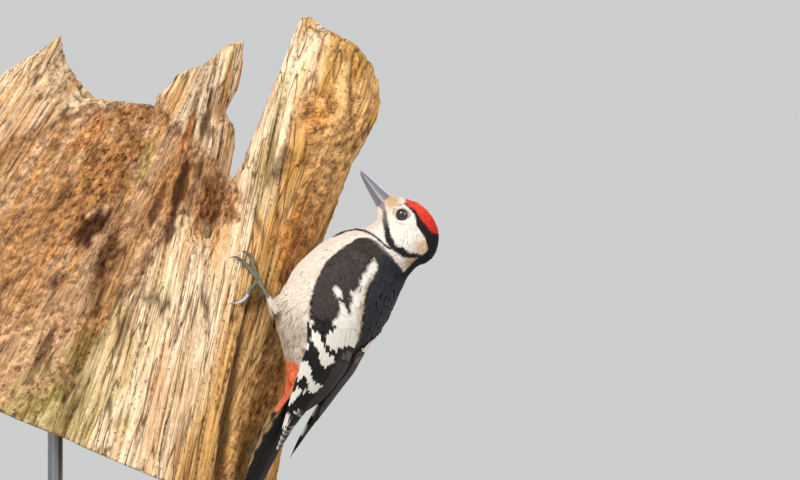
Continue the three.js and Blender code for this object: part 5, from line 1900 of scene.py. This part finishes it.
# Where each light stands, its size in metres and its power as a share of the key light's.
LIGHTS = {"key": ((-0.75, -1.25, 1.15), 0.9, 1.0), "fill": ((1.3, -1.1, 0.5), 1.2, 0.3),
          "rear": ((0.5, 1.3, 0.9), 0.9, 0.35)}
WORLD_COLOUR, WORLD_STRENGTH = "#DCDEDD", 0.85
FLOOR_THICKNESS, FLOOR_GAP = 0.01, 0.0005  # m; the stand's base clears the floor by the gap


class StageSettings(bpy.types.PropertyGroup):
    """The floor and the light."""

    floor: colour_property("Floor", "Pale grey floor", "#B4B2AE")
    floor_radius: bpy.props.FloatProperty(name="Floor radius", description="Size of the floor",
                                          default=0.9, min=0.2, unit="LENGTH")
    key_power: bpy.props.FloatProperty(name="Key light", description="Power of the key light",
                                       default=34, min=0, unit="POWER")


def floor_material(colour):
    """Matt emulsion over a smooth screed: even, with the faintest mottle."""
    material, tree, surface = new_material("matt_floor_paint", Roughness=0.9)
    mottle = add_node(tree, "ShaderNodeTexNoise", Scale=14, Detail=4)
    shade = add_node(tree, "ShaderNodeValToRGB", [(0, mottle.outputs[0])],
                     [(0.3, 0.96 * rgb(colour)), (0.7, colour)])
    tree.links.new(shade.outputs[0], surface.inputs["Base Color"])
    return material


def add_light(name, at, size, power):
    """A round lamp that faces the bird."""
    lamp = bpy.data.lights.new(name, "AREA")
    lamp.shape = "DISK"
    lamp.size = size
    lamp.energy = power
    thing = bpy.data.objects.new(name, lamp)
    thing.location = at
    thing.rotation_euler = (Vector(AIM) - Vector(at)).to_track_quat("-Z", "Y").to_euler()
    bpy.context.scene.collection.objects.link(thing)


class WOODPECKER_OT_stage(bpy.types.Operator):
    """Set the floor, the light and the camera"""

    bl_idname = "woodpecker.stage"
    bl_label = "Stage"

    def execute(self, context):
        scene, c = context.scene, context.scene.woodpecker_stage
        bpy.ops.mesh.primitive_cylinder_add(
            vertices=128, radius=c.floor_radius, depth=FLOOR_THICKNESS,
            location=(0, 0, -FLOOR_THICKNESS / 2 - FLOOR_GAP))
        floor = context.object
        floor.name = "floor"
        floor.data.materials.append(floor_material(c.floor))
        for name, (at, size, share) in LIGHTS.items():
            add_light(name, at, size, share * c.key_power)
        world = bpy.data.worlds.new("pale_room")
        world.use_nodes = True
        sky = world.node_tree.nodes["Background"]
        sky.inputs[0].default_value = (*linear(WORLD_COLOUR), 1)
        sky.inputs[1].default_value = WORLD_STRENGTH
        scene.world = world
        scene.view_settings.view_transform = "Standard"
        lens = bpy.data.cameras.new("camera")
        lens.sensor_width = SENSOR
        lens.lens = SENSOR * CAMERA_DISTANCE / VIEW_WIDTH
        camera = bpy.data.objects.new("camera", lens)
        camera.location = (AIM[0], AIM[1] - CAMERA_DISTANCE, AIM[2])
        camera.rotation_euler = (math.pi / 2, 0, 0)
        scene.collection.objects.link(camera)
        scene.camera = camera
        return {"FINISHED"}


# ---------------- panel and registration
OPERATORS = (
    WOODPECKER_OT_stage, WOODPECKER_OT_skin, WOODPECKER_OT_coat, WOODPECKER_OT_wings,
    WOODPECKER_OT_tail, WOODPECKER_OT_bill, WOODPECKER_OT_eyes, WOODPECKER_OT_feet,
    WOODPECKER_OT_trunk, WOODPECKER_OT_stand)
SETTINGS = {"woodpecker_plumage": PlumageSettings, "woodpecker_bill": BillSettings,
            "woodpecker_eye": EyeSettings, "woodpecker_foot": FootSettings,
            "woodpecker_trunk": TrunkSettings, "woodpecker_stand": StandSettings,
            "woodpecker_stage": StageSettings}


class WOODPECKER_PT_panel(bpy.types.Panel):
    """The pieces of the woodpecker, in the order in which they are made"""

    bl_idname = "WOODPECKER_PT_panel"
    bl_label = "Woodpecker"
    bl_space_type = "VIEW_3D"
    bl_region_type = "UI"
    bl_category = "Woodpecker"

    def draw(self, context):
        for operator in OPERATORS:
            self.layout.operator(operator.bl_idname)
        for name, group in SETTINGS.items():
            box = self.layout.box()
            box.label(text=group.__doc__)
            for key in group.__annotations__:
                box.prop(getattr(context.scene, name), key)


def register():
    for group in SETTINGS.values():
        bpy.utils.register_class(group)
    for name, group in SETTINGS.items():
        setattr(bpy.types.Scene, name, bpy.props.PointerProperty(type=group))
    for operator in OPERATORS:
        bpy.utils.register_class(operator)
    bpy.utils.register_class(WOODPECKER_PT_panel)


def unregister():
    bpy.utils.unregister_class(WOODPECKER_PT_panel)
    for operator in reversed(OPERATORS):
        bpy.utils.unregister_class(operator)
    for name in SETTINGS:
        delattr(bpy.types.Scene, name)
    for group in SETTINGS.values():
        bpy.utils.unregister_class(group)


def main():
    register()
    for operator in OPERATORS:
        area, name = operator.bl_idname.split(".")
        getattr(getattr(bpy.ops, area), name)()


if __name__ == "__main__":
    main()
